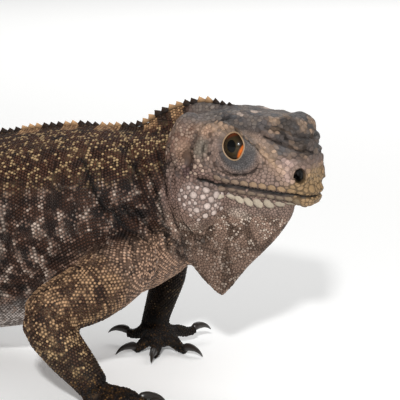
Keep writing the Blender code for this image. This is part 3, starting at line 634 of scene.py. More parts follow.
def fewer_faces(skin, keep_fine):
    """Spends the skin's triangles on the head, and thins the rest."""
    group = skin.vertex_groups.new(name="coarse")
    group.add([int(k) for k in np.flatnonzero(~keep_fine)], 1.0, "REPLACE")
    skin.data.calc_loop_triangles()
    thin = skin.modifiers.new("Thin", "DECIMATE")
    thin.ratio = min(1.0, SKIN_TRIANGLES / len(skin.data.loop_triangles))
    thin.vertex_group = "coarse"
    thin.vertex_group_factor = 1.0
    bake(skin)
    skin.vertex_groups.clear()


# The photograph's camera: angles round and above, distance and the width of its view in metres.
CAMERA_AZIMUTH = 20.0
CAMERA_ELEVATION = 9.0
CAMERA_DISTANCE = 1.1
CAMERA_WIDTH = 0.23
CAMERA_TARGET = (30.0, 0.0, 103.0)


def place_camera():
    """The photograph's camera."""
    a, e = math.radians(CAMERA_AZIMUTH), math.radians(CAMERA_ELEVATION)
    back = Vector((math.sin(a) * math.cos(e), -math.cos(a) * math.cos(e), math.sin(e)))
    camera = bpy.data.cameras.new("view")
    camera.sensor_width = 36.0
    camera.lens = camera.sensor_width * CAMERA_DISTANCE / CAMERA_WIDTH
    obj = new_object("view", camera)
    obj.location = (BODY @ Vector(CAMERA_TARGET)) * MM + back * CAMERA_DISTANCE
    obj.rotation_mode = "QUATERNION"
    obj.rotation_quaternion = (-back).to_track_quat("-Z", "Y")
    bpy.context.scene.camera = obj


def softbox(name, place, aim, size, power):
    """A white area light at a place, turned to what it lights."""
    light = bpy.data.lights.new(name, "AREA")
    light.shape = "RECTANGLE"
    light.size, light.size_y = size
    light.energy = power
    obj = new_object(name, light)
    obj.location = place
    obj.rotation_mode = "QUATERNION"
    obj.rotation_quaternion = (Vector(place) - Vector(aim)).to_track_quat("Z", "Y")


def plain(name, colour, roughness):
    """A material of one colour with its Principled shader."""
    made = bpy.data.materials.new(name)
    made.use_nodes = True
    shader = made.node_tree.nodes["Principled BSDF"]
    shader.inputs["Base Color"].default_value = (*colour, 1.0)
    shader.inputs["Roughness"].default_value = roughness
    return made, made.node_tree, shader


# Lights: place, what they are turned to, size and power. The floor and the world glow a little.
KEY_LIGHT = ((0.82, -1.62, 0.80), (0.33, -0.05, 0.08), (0.09, 0.09), 33.0)
OVERHEAD_LIGHT = ((0.3, 2.8, 2.6), (0.3, 2.8, 0.0), (4.0, 3.0), 84.0)
FLOOR_GLOW = 0.14
WORLD_GLOW = 0.32


def studio():
    """A plain white floor, a small key light in front, a broad one behind, and a pale world."""
    shape = bmesh.new()
    bmesh.ops.create_grid(shape, x_segments=1, y_segments=1, size=12.0)
    floor = object_of("floor", shape)
    made, _, shader = plain("floor_pale", (0.94, 0.94, 0.93), 0.6)
    shader.inputs["Emission Color"].default_value = (1.0, 1.0, 1.0, 1.0)
    shader.inputs["Emission Strength"].default_value = FLOOR_GLOW
    floor.data.materials.append(made)
    world = bpy.data.worlds.new("studio")
    world.use_nodes = True
    glow = world.node_tree.nodes["Background"].inputs
    glow["Color"].default_value = (1.0, 1.0, 1.0, 1.0)
    glow["Strength"].default_value = WORLD_GLOW
    bpy.context.scene.world = world
    bpy.context.scene.view_settings.view_transform = "Standard"
    softbox("key", *KEY_LIGHT)
    softbox("overhead", *OVERHEAD_LIGHT)


def tint(red, green, blue):
    """A colour as seen on a screen, 0 to 255, as the shaders want it."""
    return np.array([((c / 255 + 0.055) / 1.055) ** 2.4 for c in (red, green, blue)])


# Colours of the hide.
DARK_HIDE = tint(28, 16, 11)
BROWN_HIDE = tint(66, 40, 26)
RUST_HIDE = tint(92, 56, 36)
PALE_DOT = tint(208, 188, 172)
PINK_DOT = tint(140, 110, 94)
GOLD_DOT = tint(196, 164, 120)
BREAST_TAN = tint(208, 168, 140)
BELLY_GREY = tint(206, 194, 186)
LEG_HIDE = tint(48, 26, 17)
LEG_DOT = tint(194, 154, 116)
HAND_HIDE = tint(18, 12, 9)
HAND_DOT = tint(120, 84, 40)
CREST_TAN = tint(196, 154, 112)
CREST_DARK = tint(56, 41, 32)
CLAW_HORN = tint(34, 27, 23)

# Colours of the head.
DARK_PATCH = tint(56, 54, 54)
PATCH_PALE = tint(188, 168, 154)
# Pale pink of the nostril's rim, partly a painted highlight on its glossy swelling.
RIM_PINK_SHEEN = tint(176, 150, 140)
RIM_TAN = tint(138, 112, 84)
RUST_PALE = tint(150, 120, 100)
TEMPLE_PURPLE = tint(92, 72, 70)
GREEN_GREY = tint(118, 112, 98)
TAUPE = tint(128, 108, 97)
SLATE = tint(80, 78, 79)
CROWN_PALE = tint(150, 136, 124)
SNOUT_DARK = tint(72, 68, 66)
BROW_TAN = tint(166, 138, 114)
LID_BLUE = tint(76, 78, 80)
CHEEK_PINK = tint(146, 122, 110)
TEMPLE_CREAM = tint(172, 150, 132)
JOWL_HIDE = tint(126, 102, 92)
JOWL_CREAM = tint(218, 200, 190)
LIP_OCHRE = tint(160, 131, 95)
LIP_BACK = tint(140, 120, 100)
LIP_GREY = tint(134, 120, 98)
CHIN_PALE = tint(196, 184, 162)
THROAT_BROWN = tint(146, 120, 104)
THROAT_PALE = tint(204, 186, 170)
THROAT_DARK = tint(80, 62, 50)
# Painted shade: of the ears' hollows, the mouth's line and the nostrils' pits.
EAR_PAINTED_SHADE = tint(50, 40, 36)
MOUTH_PAINTED_SHADE = tint(22, 16, 14)
NOSTRIL_PAINTED_SHADE = tint(8, 6, 5)


def mottle(places, size, seed=0.0):
    """Soft noise of about this size in millimetres at each place, from about 0 to 1."""
    shift = Vector((seed * 17.3, seed * 5.1, -seed * 9.7))
    return np.array([0.5 + 0.9 * noise.noise(Vector(p) / size + shift) for p in places])


def clumped(row, chance):
    """Chances from 0 to 1 that lean the same way in small patches."""
    leaning = 0.62 * chance + 0.38 * np.clip(2.6 * (mottle(row, 3.4, 21) - 0.5) + 0.5, 0, 1)
    return np.argsort(np.argsort(leaning)) / len(leaning)


def blend(base, other, share):
    """One colour mixed into another by a share from 0 to 1 at each place."""
    share = np.clip(np.asarray(share, float), 0, 1)[:, None]
    return base * (1 - share) + other * share


def off_centre(places, centre, reach):
    """How far each place is from a centre: 1 on the edge of the ellipsoid that reaches so far."""
    return np.linalg.norm((places - np.array(centre)) / np.array(reach), axis=1)


def bump_at(places, centre, reach):
    """1 at a centre, falling smoothly to 0 at its reach."""
    near = (((places - np.array(centre)) / np.array(reach)) ** 2).sum(1)
    return np.where(near < 1.0, (1.0 - near) ** 2, 0.0)


# Blocks of the crest's colour: how many spines each holds, dark first, and the length each covers.
SPINE_PITCH = 4.6
SPINE_START = 11.0
BLOCKS = (3, 2, 2, 2, 2, 2, 3, 3, 3, 2, 3, 3, 4, 2, 3, 3, 2, 3, 4, 3, 3, 2, 3, 3, 4, 3, 3, 4)


def crest_block(run):
    """0 where the crest is dark and 1 where it is tan, at each distance along it."""
    ends = np.cumsum(BLOCKS) * SPINE_PITCH + SPINE_START
    return np.searchsorted(ends, run + SPINE_PITCH / 2) % 2


class Crest:
    """The line of the crest, to find how far along it and how far beside it a place is."""

    def __init__(self, line):
        self.line = line
        steps = np.linalg.norm(np.diff(line, axis=0), axis=1)
        self.run = np.concatenate([[0.0], np.cumsum(steps)])
        self.tree = tree_of(line)

    def near(self, places):
        """How far along the crest and how far from it each place is."""
        found = [self.tree.find(place) for place in places]
        return self.run[[k for _, k, _ in found]], np.array([apart for _, _, apart in found])


def trunk_height(body):
    """How high on the trunk a place is: 1 on the back and -1 under the belly."""
    rows = np.array(sorted(TRUNK))
    middle, up, down = (np.interp(body[:, 0], rows[:, 0], rows[:, k]) for k in (1, 3, 4))
    rise = body[:, 2] - middle
    return np.where(rise > 0, rise / up, rise / down)


def trunk_colour(row, chance):
    """The dark hide of the trunk with its pale bands, dots and tan breast, and painted shade by the shoulder.
    """
    body = in_frame(row, BODY_BACK)
    height = trunk_height(body)
    second, third = np.mod(chance * 7.3, 1.0), np.mod(chance * 13.7, 1.0)
    warp = mottle(body, 16, 1)
    band = 0.5 + 0.5 * np.sin(math.tau * (body[:, 0] + 11 * (warp - 0.5) - 5) / 12.5)
    clump = mottle(body, 5.5, 2)
    flank = smooth((height + 0.95) / 0.3) * smooth((0.62 - height) / 0.3)
    back = smooth((height - 0.40) / 0.3)
    belly = smooth((-0.55 - height) / 0.35)
    # Painted shade on the chest below the neck, beside the shoulder: the pale marks mostly give way there.
    dark = bump_at(np.abs(body), (0, 45, 88), (26, 22, 26))
    tone = blend(DARK_HIDE[None], BROWN_HIDE, 0.2 + 1.2 * (mottle(body, 8, 3) - 0.35) + 0.25 * third)
    tone = blend(tone, RUST_HIDE, 0.6 * back * clump * (second > 0.4) + 0.25 * (1 - flank) * (chance > 0.6))
    pale = flank * (0.05 + 0.9 * band ** 1.5 * smooth((clump - 0.3) / 0.45)) * (1 - 0.85 * dark)
    tone = blend(tone, PINK_DOT, (second < pale * 1.6) * (0.35 + 0.4 * third))
    tone = blend(tone, PALE_DOT, (chance < pale * 0.75) * (0.35 + 0.6 * clump * third))
    dots = 0.10 + 0.26 * smooth((clump - 0.35) / 0.3)
    tone = blend(tone, GOLD_DOT, back * (second < dots) * (0.5 + 0.5 * third))
    breast = smooth((body[:, 0] + 34) / 22) * smooth((-0.12 - height) / 0.3)
    tone = blend(tone, BELLY_GREY, belly * (1 - 0.85 * breast) * (0.35 + 0.6 * (third < 0.6)))
    tone = blend(tone, BREAST_TAN, breast * (0.25 + 0.65 * (second < 0.6)))
    return tone


def crest_band(row, chance, tone, crest):
    """The blocks of tan and dark that run down from the crest."""
    run, beside = crest.near(row)
    reach = 9.0 + 4.0 * (mottle(row, 6, 4) - 0.5)
    under = smooth((reach - beside) / 2.5) * smooth((320 - run) / 60)
    block = np.where(crest_block(run) == 1, 1.0, 0.0)
    luck = np.mod(chance * 13.7, 1.0)
    tan = blend(RUST_HIDE[None], CREST_TAN, 0.25 + 0.9 * luck)
    tone = blend(tone, tan, under * block * 0.9)
    dark = blend(CREST_DARK[None], BROWN_HIDE, 0.9 * luck * (luck > 0.6))
    return blend(tone, dark, under * (1 - block) * 0.85)


def tail_colour(row, chance, crest):
    """Brown bands round the tail, paler between."""
    run, _ = crest.near(row)
    wave = 0.5 + 0.5 * np.sin(math.tau * (run + 6 * (mottle(row, 14, 5) - 0.5)) / 34.0)
    tone = blend(DARK_HIDE[None], BROWN_HIDE, 0.3 + 0.5 * chance)
    tone = blend(tone, PINK_DOT, smooth((wave - 0.45) / 0.35) * (0.25 + 0.6 * (chance > 0.45)))
    return blend(tone, GOLD_DOT, 0.5 * (np.mod(chance * 7.3, 1.0) < 0.18))


# The arm that lies dark behind the breast: its colours are darkened as painted shadow of the breast.
SHADED_ARM = "front_left"


def limb_colour(row, chance, limb):
    """Dark limbs dotted with cream near the body and with gold toward the hand."""
    body = in_frame(row, BODY_BACK)
    second = np.mod(chance * 9.1, 1.0)
    low = smooth((58 - body[:, 2]) / 34)
    pale = blend(LEG_DOT[None], GOLD_DOT, low)
    pale = blend(pale, HAND_DOT, smooth((26 - body[:, 2]) / 14))
    tone = blend(LEG_HIDE[None], HAND_HIDE, smooth((44 - body[:, 2]) / 26))
    tone = blend(tone, RUST_HIDE, 0.5 * second)
    share = 0.58 - 0.2 * low + 0.5 * (mottle(body, 7, 6) - 0.5)
    if limb.startswith("front"):
        breast = smooth((26 - np.abs(body[:, 0] - 14)) / 18) * smooth((62 - np.abs(body[:, 1])) / 16)
        share = share + 0.35 * breast
        tone = blend(tone, PINK_DOT, 0.45 * breast)
        pale = blend(pale, PALE_DOT, 0.8 * breast)
    # Painted shadow of the breast: the far arm darkened, with fewer and dimmer dots.
    if limb == SHADED_ARM:
        tone, pale, share = tone * 0.3, pale * 0.6, share * 0.5
    return blend(tone * 0.82, pale, np.where(chance < share, 0.30 + 0.68 * second, 0.03))


def foot_colour(row, chance, limb):
    """Near-black hands and feet with gold dots."""
    body = in_frame(row, BODY_BACK)
    tone = blend(HAND_HIDE[None], LEG_HIDE, 0.5 * mottle(body, 6, 7))
    tone = blend(tone, HAND_DOT, np.where(chance < 0.34, 0.35 + 0.6 * np.mod(chance * 9.1, 1.0), 0.0))
    # Painted shadow of the breast on the far arm's foot.
    return tone * (0.5 if limb == f"foot_{SHADED_ARM}" else 1.0)


# Lines of the head's colour: the pale brow and the paler rim of the socket under the eye.
BROW_LINE = ((18, 27, 31), (30, 26, 33), (46, 23, 27), (58, 20, 20), (68, 17, 13))
SOCKET_LINE = ((26, 30, 11), (34, 28.5, 7), (44, 25.5, 5), (53, 22, 8))


def head_colour(row, chance):
    """The many tones of the head, from the slate crown to the cream jowls and the brown throat."""
    place = in_frame(row, HEAD_BACK)
    place[:, 1] = np.abs(place[:, 1])
    x, _, z = place.T
    clump = mottle(place, 6, 8)
    fine = mottle(place, 2.5, 9)
    tone = blend(TAUPE[None], CHEEK_PINK, clump * smooth((30 - z) / 10))
    crown = smooth((z - 30) / 7)
    tone = blend(tone, SLATE, crown * (0.55 + 0.5 * fine))
    tone = blend(tone, CROWN_PALE, crown * smooth((clump - 0.42) / 0.16) * (0.25 + 0.3 * (chance > 0.6)))
    snout = smooth((x - 50) / 12) * smooth((z - 16) / 8)
    tone = blend(tone, SNOUT_DARK, snout * (0.4 + 0.5 * fine))
    tone = blend(tone, BROW_TAN, snout * smooth((clump - 0.5) / 0.15) * (0.4 + 0.3 * (chance > 0.6)))
    brow = np.exp(-away_from(place, flowing(BROW_LINE, 4)) / 16)
    tone = blend(tone, BROW_TAN, brow * (0.5 + 0.5 * (chance > 0.35)))
    socket = off_centre(place, (42, 24, 20), (12.5, 9, 12.5))
    tone = blend(tone, LID_BLUE, smooth((1.12 - socket) / 0.4) * 0.85)
    under = np.exp(-away_from(place, flowing(SOCKET_LINE, 4)) / 5)
    tone = blend(tone, CHEEK_PINK * 1.15, under * 0.8)
    temple = smooth((20 - x) / 8) * smooth((z - 2) / 6) * smooth((34 - z) / 6)
    tone = blend(tone, RUST_HIDE, temple * (0.2 + 0.5 * clump))
    tone = blend(tone, TEMPLE_CREAM, temple * (chance > 0.66) * 0.55)
    jowl = smooth((1.25 - off_centre(place, (17, 28, -9), (18, 18, 17))) / 0.35)
    tone = blend(tone, JOWL_HIDE, jowl)
    cream = smooth((1.05 - off_centre(place, (22, 27, -9), (14, 14, 12))) / 0.3)
    tone = blend(tone, JOWL_CREAM, jowl * cream * (0.04 + 0.36 * np.mod(chance * 3.7, 1.0)))
    throat = smooth((-13 - z) / 7) * (1 - jowl * 0.6)
    tone = blend(tone, THROAT_BROWN, throat)
    tone = blend(tone, THROAT_DARK, throat * smooth((0.42 - mottle(place * (1, 1, 0.4), 7, 10)) / 0.2) * 0.8)
    fan = smooth((-28 - z) / 12)
    tone = blend(tone, THROAT_DARK, throat * fan * 0.35)
    dots = throat * (chance > 0.66) * smooth((clump - 0.25) / 0.4)
    tone = blend(tone, THROAT_PALE, dots * (0.8 - 0.45 * fan))
    tip = smooth((x - 64) / 10) * smooth((16 - z) / 8) * smooth((z + 12) / 4)
    tone = blend(tone, LIP_OCHRE, tip * 0.9)
    tone = head_patches(place, tone)
    rear = smooth((2 - x) / 9) * smooth((z + 4) / 10)
    tone = blend(tone, BROWN_HIDE, rear * 0.8)
    tone = blend(tone, PALE_DOT, rear * (chance > 0.75) * 0.5)
    return tone * ((0.60 + 0.22 * fine + 0.12 * np.mod(chance * 5.3, 1.0)) * (1 + 0.3 * brow))[:, None]


# Patches of the head's colour: centre, reach, colour, how strongly; a few are partly painted light.
HEAD_PATCHES = (
    ((64, 11, 38.5), (7, 6, 5), DARK_PATCH, 0.85),
    ((73, 10, 29), (7, 8, 4.5), DARK_PATCH, 0.75),
    ((62, 16, 30), (7, 6, 4), DARK_PATCH, 0.55),
    ((48, 20, 35), (9, 8, 5), DARK_PATCH, 0.5),
    ((30, 20, 36), (8, 8, 5), DARK_PATCH, 0.6),
    ((22, 10, 38), (10, 8, 6), DARK_PATCH, 0.45),
    ((41, 6.5, 41), (4, 3, 4), PATCH_PALE, 0.95),
    ((36, 13.5, 39.6), (3.4, 2.6, 3), PATCH_PALE, 0.75),
    ((56, 12, 39.5), (5, 4, 4), BROW_TAN, 0.7),
    ((70, 6.5, 39.5), (6, 5, 4), BROW_TAN, 0.5),
    ((58, 15.5, 34), (5, 4, 3.5), BROW_TAN, 0.6),
    ((66, 17, 25), (7, 5, 3.2), SLATE, 0.8),
    ((75, 8, 24), (6, 8, 3.0), DARK_PATCH, 0.6),
    # The nostril's rim: pale pink, partly a painted highlight on its glossy swelling.
    ((68, 17, 18), (8, 5, 4), RIM_PINK_SHEEN, 0.8),
    ((70, 16, 11), (5, 5, 7), RIM_PINK_SHEEN, 0.85),
    ((78, 4, 8), (7, 9, 11), LIP_OCHRE, 0.9),
    ((10, 28, 17), (7, 8, 10), RUST_PALE, 0.7),
    # Painted shade under the brow, over the upper lid's own dark edge.
    ((40, 22, 34.5), (9, 5, 3), DARK_PATCH, 0.7),
    ((40, 15, -17), (9, 7, 5), THROAT_PALE, 0.45),
    ((13, 30, 6.5), (5, 6, 7), TEMPLE_PURPLE, 0.9),
    ((20, 28, 20), (6, 8, 8), GREEN_GREY, 0.6),
    ((23, 27, 29), (5, 6, 5), RUST_PALE, 0.7),
    ((3, 25, 27), (5, 6, 5), TEMPLE_CREAM, 0.5),
)


def head_patches(place, tone):
    """The head's colours with its patches laid over them."""
    for centre, reach, colour, share in HEAD_PATCHES:
        tone = blend(tone, colour, share * np.minimum(1.0, 1.8 * bump_at(place, centre, reach)))
    return tone


def head_groove(row, chance, folds):
    """The skin between the head's scales, with painted shade: dark along the mouth, black in the nostrils and
    dim in the ears.
    """
    place = in_frame(row, HEAD_BACK)
    place[:, 1] = np.abs(place[:, 1])
    tone = head_colour(row, chance) * (0.5 + 0.35 * smooth((place[:, 2] - 6) / 14))[:, None]
    # Painted shade: dark along the mouth, black in the nostrils' pits, darker in the ears and the deep folds.
    tone = blend(tone, MOUTH_PAINTED_SHADE, np.minimum(1.0, 1.6 * folds.mouth_near(row)))
    tone = blend(tone, NOSTRIL_PAINTED_SHADE, smooth((1.25 - nostril_share(place)) / 0.3))
    return blend(tone, EAR_PAINTED_SHADE, 0.7 * bump_at(place, EAR, (6, 8, 7))) * folds.shade(row)[:, None]


def unit(rows):
    """Each row made one long."""
    return rows / np.maximum(np.linalg.norm(rows, axis=1), 1e-9)[:, None]


def lying(outs, lies):
    """Turns whose columns are along the hide, across it and out of it."""
    outs = unit(outs)
    along = unit(lies - outs * (lies * outs).sum(1)[:, None])
    return np.stack([along, np.cross(outs, along), outs], axis=2)


def dome(sides, rings, peak):
    """A scale one unit in radius: a sunken base, rings of (reach, height), and a raised middle."""
    shape = bmesh.new()
    bmesh.ops.create_circle(shape, cap_ends=True, segments=sides, radius=1.0)
    bmesh.ops.translate(shape, verts=shape.verts, vec=(0.0, 0.0, rings[0][1]))
    face = list(shape.faces)[0]
    for (reach, height), (next_reach, next_height) in zip(rings, rings[1:]):
        face = bmesh.ops.extrude_discrete_faces(shape, faces=[face])["faces"][0]
        bmesh.ops.scale(shape, verts=face.verts, vec=(next_reach / reach, next_reach / reach, 1.0))
        bmesh.ops.translate(shape, verts=face.verts, vec=(0.0, 0.0, next_height - height))
    bmesh.ops.poke(shape, faces=[face], offset=peak - rings[-1][1])
    return shape


def spine_shape():
    """A spine one unit tall and one in radius at its root, bent back toward x, narrow across."""
    shape = bmesh.new()
    bmesh.ops.create_cone(shape, cap_ends=False, segments=8, radius1=1.0, radius2=0.03, depth=1.0)
    bmesh.ops.translate(shape, verts=shape.verts, vec=(0.0, 0.0, 0.5))
    sides = [e for e in shape.edges if abs(e.verts[0].co.z - e.verts[1].co.z) > 0.5]
    bmesh.ops.subdivide_edges(shape, edges=sides, cuts=4)
    for vertex in shape.verts:
        rise = vertex.co.z
        full = 1.0 + 0.35 * math.sin(math.pi * rise)
        vertex.co.x = vertex.co.x * full + 0.35 * rise ** 2
        vertex.co.y = vertex.co.y * full
    return shape


class Template:
    """The points and faces of a small shape that is to be laid many times."""

    def __init__(self, shape):
        shape.verts.index_update()
        self.points = np.array([v.co for v in shape.verts])
        self.corners = np.array([v.index for f in shape.faces for v in f.verts])
        self.sides = np.array([len(f.verts) for f in shape.faces])
        shape.free()
        low, high = self.points[:, 2].min(), self.points[:, 2].max()
        self.crown = (self.points[:, 2] - low) / (high - low)
        self.angle = np.arctan2(self.points[:, 1], self.points[:, 0])


# Half the width of each scale's patch on the unwrapped hide.
PATCH = 0.0015


def laid(name, shape, places, turns, sizes, tones, roots, sharp=1.0, outlines=None, drape=None, floors=None,
         tips=None):
    """One mesh of many copies of a shape, with its colours and its place on the unwrapped hide."""
    count, each = len(places), len(shape.points)
    local = np.repeat(shape.points[None], count, axis=0)
    if outlines is not None:
        sides = outlines.shape[1]
        pick = np.round(shape.angle / math.tau * sides).astype(int) % sides
        local[:, :, :2] *= outlines[:, pick][:, :, None]
    local *= sizes[:, None, :]
    points = np.einsum("nij,nkj->nki", turns, local) + places[:, None, :]
    if drape is not None:
        points = draped(points, local[:, :, 2], drape)
    points = points.reshape(-1, 3)
    points[:, 2] = np.maximum(points[:, 2], 0.0)
    mesh = bpy.data.meshes.new(name)
    mesh.vertices.add(count * each)
    mesh.loops.add(count * len(shape.corners))
    mesh.polygons.add(count * len(shape.sides))
    corners = (shape.corners[None] + each * np.arange(count)[:, None]).ravel()
    sides = np.tile(shape.sides, count)
    mesh.vertices.foreach_set("co", (points * MM).astype(np.float32).ravel())
    mesh.loops.foreach_set("vertex_index", corners.astype(np.int32))
    mesh.polygons.foreach_set("loop_start", (np.cumsum(sides) - sides).astype(np.int32))
    mesh.update(calc_edges=True)
    tips = tones if tips is None else tips
    tip = smooth(shape.points[:, 0] * 1.3 + 0.1)[None, :, None]
    colours = tones[:, None] * (1 - tip) + tips[:, None] * tip
    put_attribute(mesh, "hide", "FLOAT_COLOR", colours.reshape(-1, 3))
    low = np.zeros((count, 1)) if floors is None else floors[:, None]
    put_attribute(mesh, "crown", "FLOAT", (low + (1 - low) * shape.crown[None] ** sharp).ravel())
    spread = shape.points[:, :2] * PATCH / np.abs(shape.points[:, :2]).max()
    flat = (roots[:, None, :] + spread[None]).reshape(-1, 2)[corners]
    put_unwrap(mesh, flat)
    mesh.shade_smooth()
    return new_object(name, mesh)


def draped(points, heights, surface):
    """Moves each point to its own height over the skin below it."""
    out = points.reshape(-1, 3).copy()
    for k, (place, height) in enumerate(zip(points.reshape(-1, 3), heights.ravel())):
        found, way, _, _ = surface.find_nearest(Vector(place))
        out[k] = np.array(found) + np.array(way) * height
    return out.reshape(points.shape)


def put_attribute(mesh, name, kind, values):
    """Gives each point of a mesh its colour or its number."""
    layer = mesh.attributes.new(name, kind, "POINT")
    if kind == "FLOAT_COLOR":
        full = np.ones((len(values), 4), np.float32)
        full[:, :3] = values
        layer.data.foreach_set("color", full.ravel())
    else:
        layer.data.foreach_set("value", np.asarray(values, np.float32))


def put_unwrap(mesh, flat):
    """Gives a mesh its place on the unwrapped hide."""
    layer = mesh.uv_layers.new(name="OFBake")
    layer.uv.foreach_set("vector", np.clip(flat, 0.0, 1.0).astype(np.float32).ravel())


class Coat:
    """Scales laid so far, kept apart by a grid of cells."""

    CELL = 2.6

    def __init__(self):
        self.cells = {}
        self.rows = []

    def free(self, place, apart):
        """Whether no scale stands nearer to a place than this."""
        a, b, c = (int(v // self.CELL) for v in place)
        least = apart * apart
        x, y, z = place
        for key in CELLS_ABOUT:
            for other in self.cells.get((a + key[0], b + key[1], c + key[2]), ()):
                if (other[0] - x) ** 2 + (other[1] - y) ** 2 + (other[2] - z) ** 2 < least:
                    return False
        return True

    def lay(self, place, out, lie, pitch, apart):
        """Adds a scale if there is room for it."""
        if not self.free(place, pitch * apart):
            return
        key = tuple(int(v // self.CELL) for v in place)
        self.cells.setdefault(key, []).append(tuple(place))
        self.rows.append((*place, *out, *lie, pitch))


CELLS_ABOUT = [(a, b, c) for a in (-1, 0, 1) for b in (-1, 0, 1) for c in (-1, 0, 1)]


def ring_rows(coat, surface, line, reaches, pitch, gap, keep, top=Vector((0, 0, 1))):
    """Lays scales in rings round a line, in rows counted down both sides from its top."""
    run, odd = 0.0, False
    line = [Vector(place) for place in line]
    for k in range(1, len(line) - 1):
        way = (line[k + 1] - line[k - 1]).normalized()
        run += (line[k] - line[k - 1]).length
        if run < gap[k]:
            continue
        run -= gap[k]
        odd = not odd
        side = way.cross(top).normalized()
        up = side.cross(way)
        for hand in (-1, 1):
            ring_half(coat, surface, line[k], way, up, side * hand, reaches[k], pitch[k], odd, keep)


# Rays in half a ring of scales, and how near its scales and the fill's may come, in pitches.
RING_RAYS = 100
RING_APART = 0.72
FILL_APART = 0.8


def ring_half(coat, surface, centre, way, up, side, reach, pitch, odd, keep):
    """Half a ring of scales, from its top to its foot."""
    wanted, gone, last = (0.25 if odd else 0.75) * pitch, 0.0, None
    for step in range(RING_RAYS + 1):
        angle = math.pi * step / RING_RAYS
        ray = up * math.cos(angle) + side * math.sin(angle)
        place, out, _, _ = surface.ray_cast(centre, ray, reach)
        if place is None:
            gone, last = gone + reach * math.pi / RING_RAYS * 0.8, None
            wanted = max(wanted, gone)
            continue
        if last is not None:
            length = (place - last[0]).length
            while wanted <= gone + length and length > 0:
                share = (wanted - gone) / length
                spot = last[0].lerp(place, share)
                if keep(spot):
                    coat.lay(spot, last[1].lerp(out, share), way, pitch, RING_APART)
                wanted += pitch
            gone += length
        last = (place, out)


def table(rows, at):
    """Each column of a table read at some places of its first column."""
    rows = np.array(sorted(rows))
    return [np.interp(at, rows[:, 0], rows[:, k]) for k in range(1, rows.shape[1])]


def trunk_scales(coat, surface, region_of):
    """Rings of small scales from the neck to the root of the tail."""
    xs = np.arange(46.0, -318.0, -0.25)
    middle, wide, up, down = table(TRUNK, xs)
    line = [BODY @ Vector((x, 0.0, z)) for x, z in zip(xs, middle)]
    reaches = np.maximum.reduce([wide, up, down]) * 1.3 + 6
    pitch = np.interp(-xs, (-40, 60, 140, 300), (1.75, 2.0, 2.35, 2.5))
    ring_rows(coat, surface, line, reaches, pitch, pitch * 0.87, lambda spot: region_of(spot) == "trunk")


def limb_scales(coat, surface, region_of):
    """Rings of scales down each limb, pointing to the hand or foot."""
    for limb, joints in LIMBS.items():
        rows = flowing(joints[1:], 60)
        steps = np.linalg.norm(np.diff(rows[:, :3], axis=0), axis=1)
        run = np.concatenate([[0.0], np.cumsum(steps)])
        at = np.arange(0.0, run[-1], 0.3)
        line = [BODY @ Vector([np.interp(s, run, rows[:, k]) for k in range(3)]) for s in at]
        radius = np.interp(at, run, rows[:, 3])
        coarser = 1.15 if limb.startswith("hind") else 1.0
        pitch = np.interp(at / run[-1], (0, 0.4, 1), (1.9, 2.0, 1.7)) * coarser
        top = Vector((0.3, 0.0, 1.0)).normalized()
        ring_rows(coat, surface, line, radius * 1.35 + 2, pitch, pitch * 0.87,
                  lambda spot: region_of(spot) == limb, top)


def tail_scales(coat, surface, region_of):
    """Whorls of longer scales round the tail."""
    places = np.array(tail_line())
    at = np.arange(0.0, TAIL_LENGTH - 3, 0.3)
    line = [BODY @ Vector([np.interp(s, np.arange(len(places)), places[:, k]) for k in range(3)]) for s in at]
    tall = tail_reach(at / TAIL_LENGTH)
    pitch = np.interp(at, (0, 60, 300, 545), (2.5, 2.7, 2.3, 1.5))
    ring_rows(coat, surface, line, tall * 1.35 + 3, pitch, pitch * 1.12,
              lambda spot: region_of(spot) == "tail")


def spread_over(mesh, per_area, keep):
    """Random places over a mesh, with their outward ways, this many to a square millimetre."""
    mesh.calc_loop_triangles()
    corners = np.empty(len(mesh.loop_triangles) * 3, np.int32)
    mesh.loop_triangles.foreach_get("vertices", corners)
    corners = corners.reshape(-1, 3)
    points, normals = points_of(mesh), normals_of(mesh)
    corners = corners[keep(points[corners].mean(1))]
    a, b, c = (points[corners[:, k]] for k in range(3))
    areas = 0.5 * np.linalg.norm(np.cross(b - a, c - a), axis=1)
    picked = rng.choice(len(corners), size=int(areas.sum() * per_area), p=areas / areas.sum())
    u, v = rng.random((2, len(picked)))
    u, v = np.where(u + v > 1, (1 - u, 1 - v), (u, v))
    shares = np.stack([1 - u - v, u, v], axis=1)[:, :, None]
    return (points[corners[picked]] * shares).sum(1), unit((normals[corners[picked]] * shares).sum(1))


class Regions:
    """Which part of the animal each place of the skin belongs to."""

    def __init__(self):
        points, faces, self.owner = [], [], []
        for name in FLESH:
            mesh = nodes[name].data
            first = len(points)
            points += [tuple(p) for p in points_of(mesh)]
            faces += [tuple(first + k for k in f.vertices) for f in mesh.polygons]
            self.owner += [self.part_of(name)] * len(mesh.polygons)
        self.tree = BVHTree.FromPolygons(points, faces)

    @staticmethod
    def part_of(name):
        """The part that a node of the flesh belongs to."""
        if name in ("head", "dewlap"):
            return "head"
        if name in TRUNK_NAMES:
            return "trunk"
        if name in TAIL_NAMES:
            return "tail"
        if name.startswith("foot_"):
            return name
        return name.rsplit("_", 1)[0]

    def at(self, place):
        """The part nearest to a place."""
        return self.owner[self.tree.find_nearest(Vector(place))[2]]


# How much painted shade darkens the hide in the creases where the limbs meet the trunk.
CREASE_PAINTED_SHADE = 0.45
PARTS = ("head", "trunk", "tail") + LIMB_NAMES + tuple(f"foot_{limb}" for limb in LIMB_NAMES)


def part_shares(skin, regions):
    """How much of each part every point of the skin belongs to, blended over the seams."""
    points = points_of(skin.data)
    shares = np.zeros((len(points), len(PARTS)), np.float32)
    for k, place in enumerate(points):
        shares[k, PARTS.index(regions.at(place))] = 1.0
    ends = np.empty(len(skin.data.edges) * 2, np.int32)
    skin.data.edges.foreach_get("vertices", ends)
    a, b = ends.reshape(-1, 2).T
    degree = np.bincount(ends, minlength=len(points))[:, None] + 1.0
    for _ in range(6):
        total = shares.copy()
        for part in range(len(PARTS)):
            total[:, part] += np.bincount(a, shares[b, part], len(points))
            total[:, part] += np.bincount(b, shares[a, part], len(points))
        shares = total / degree
    return shares


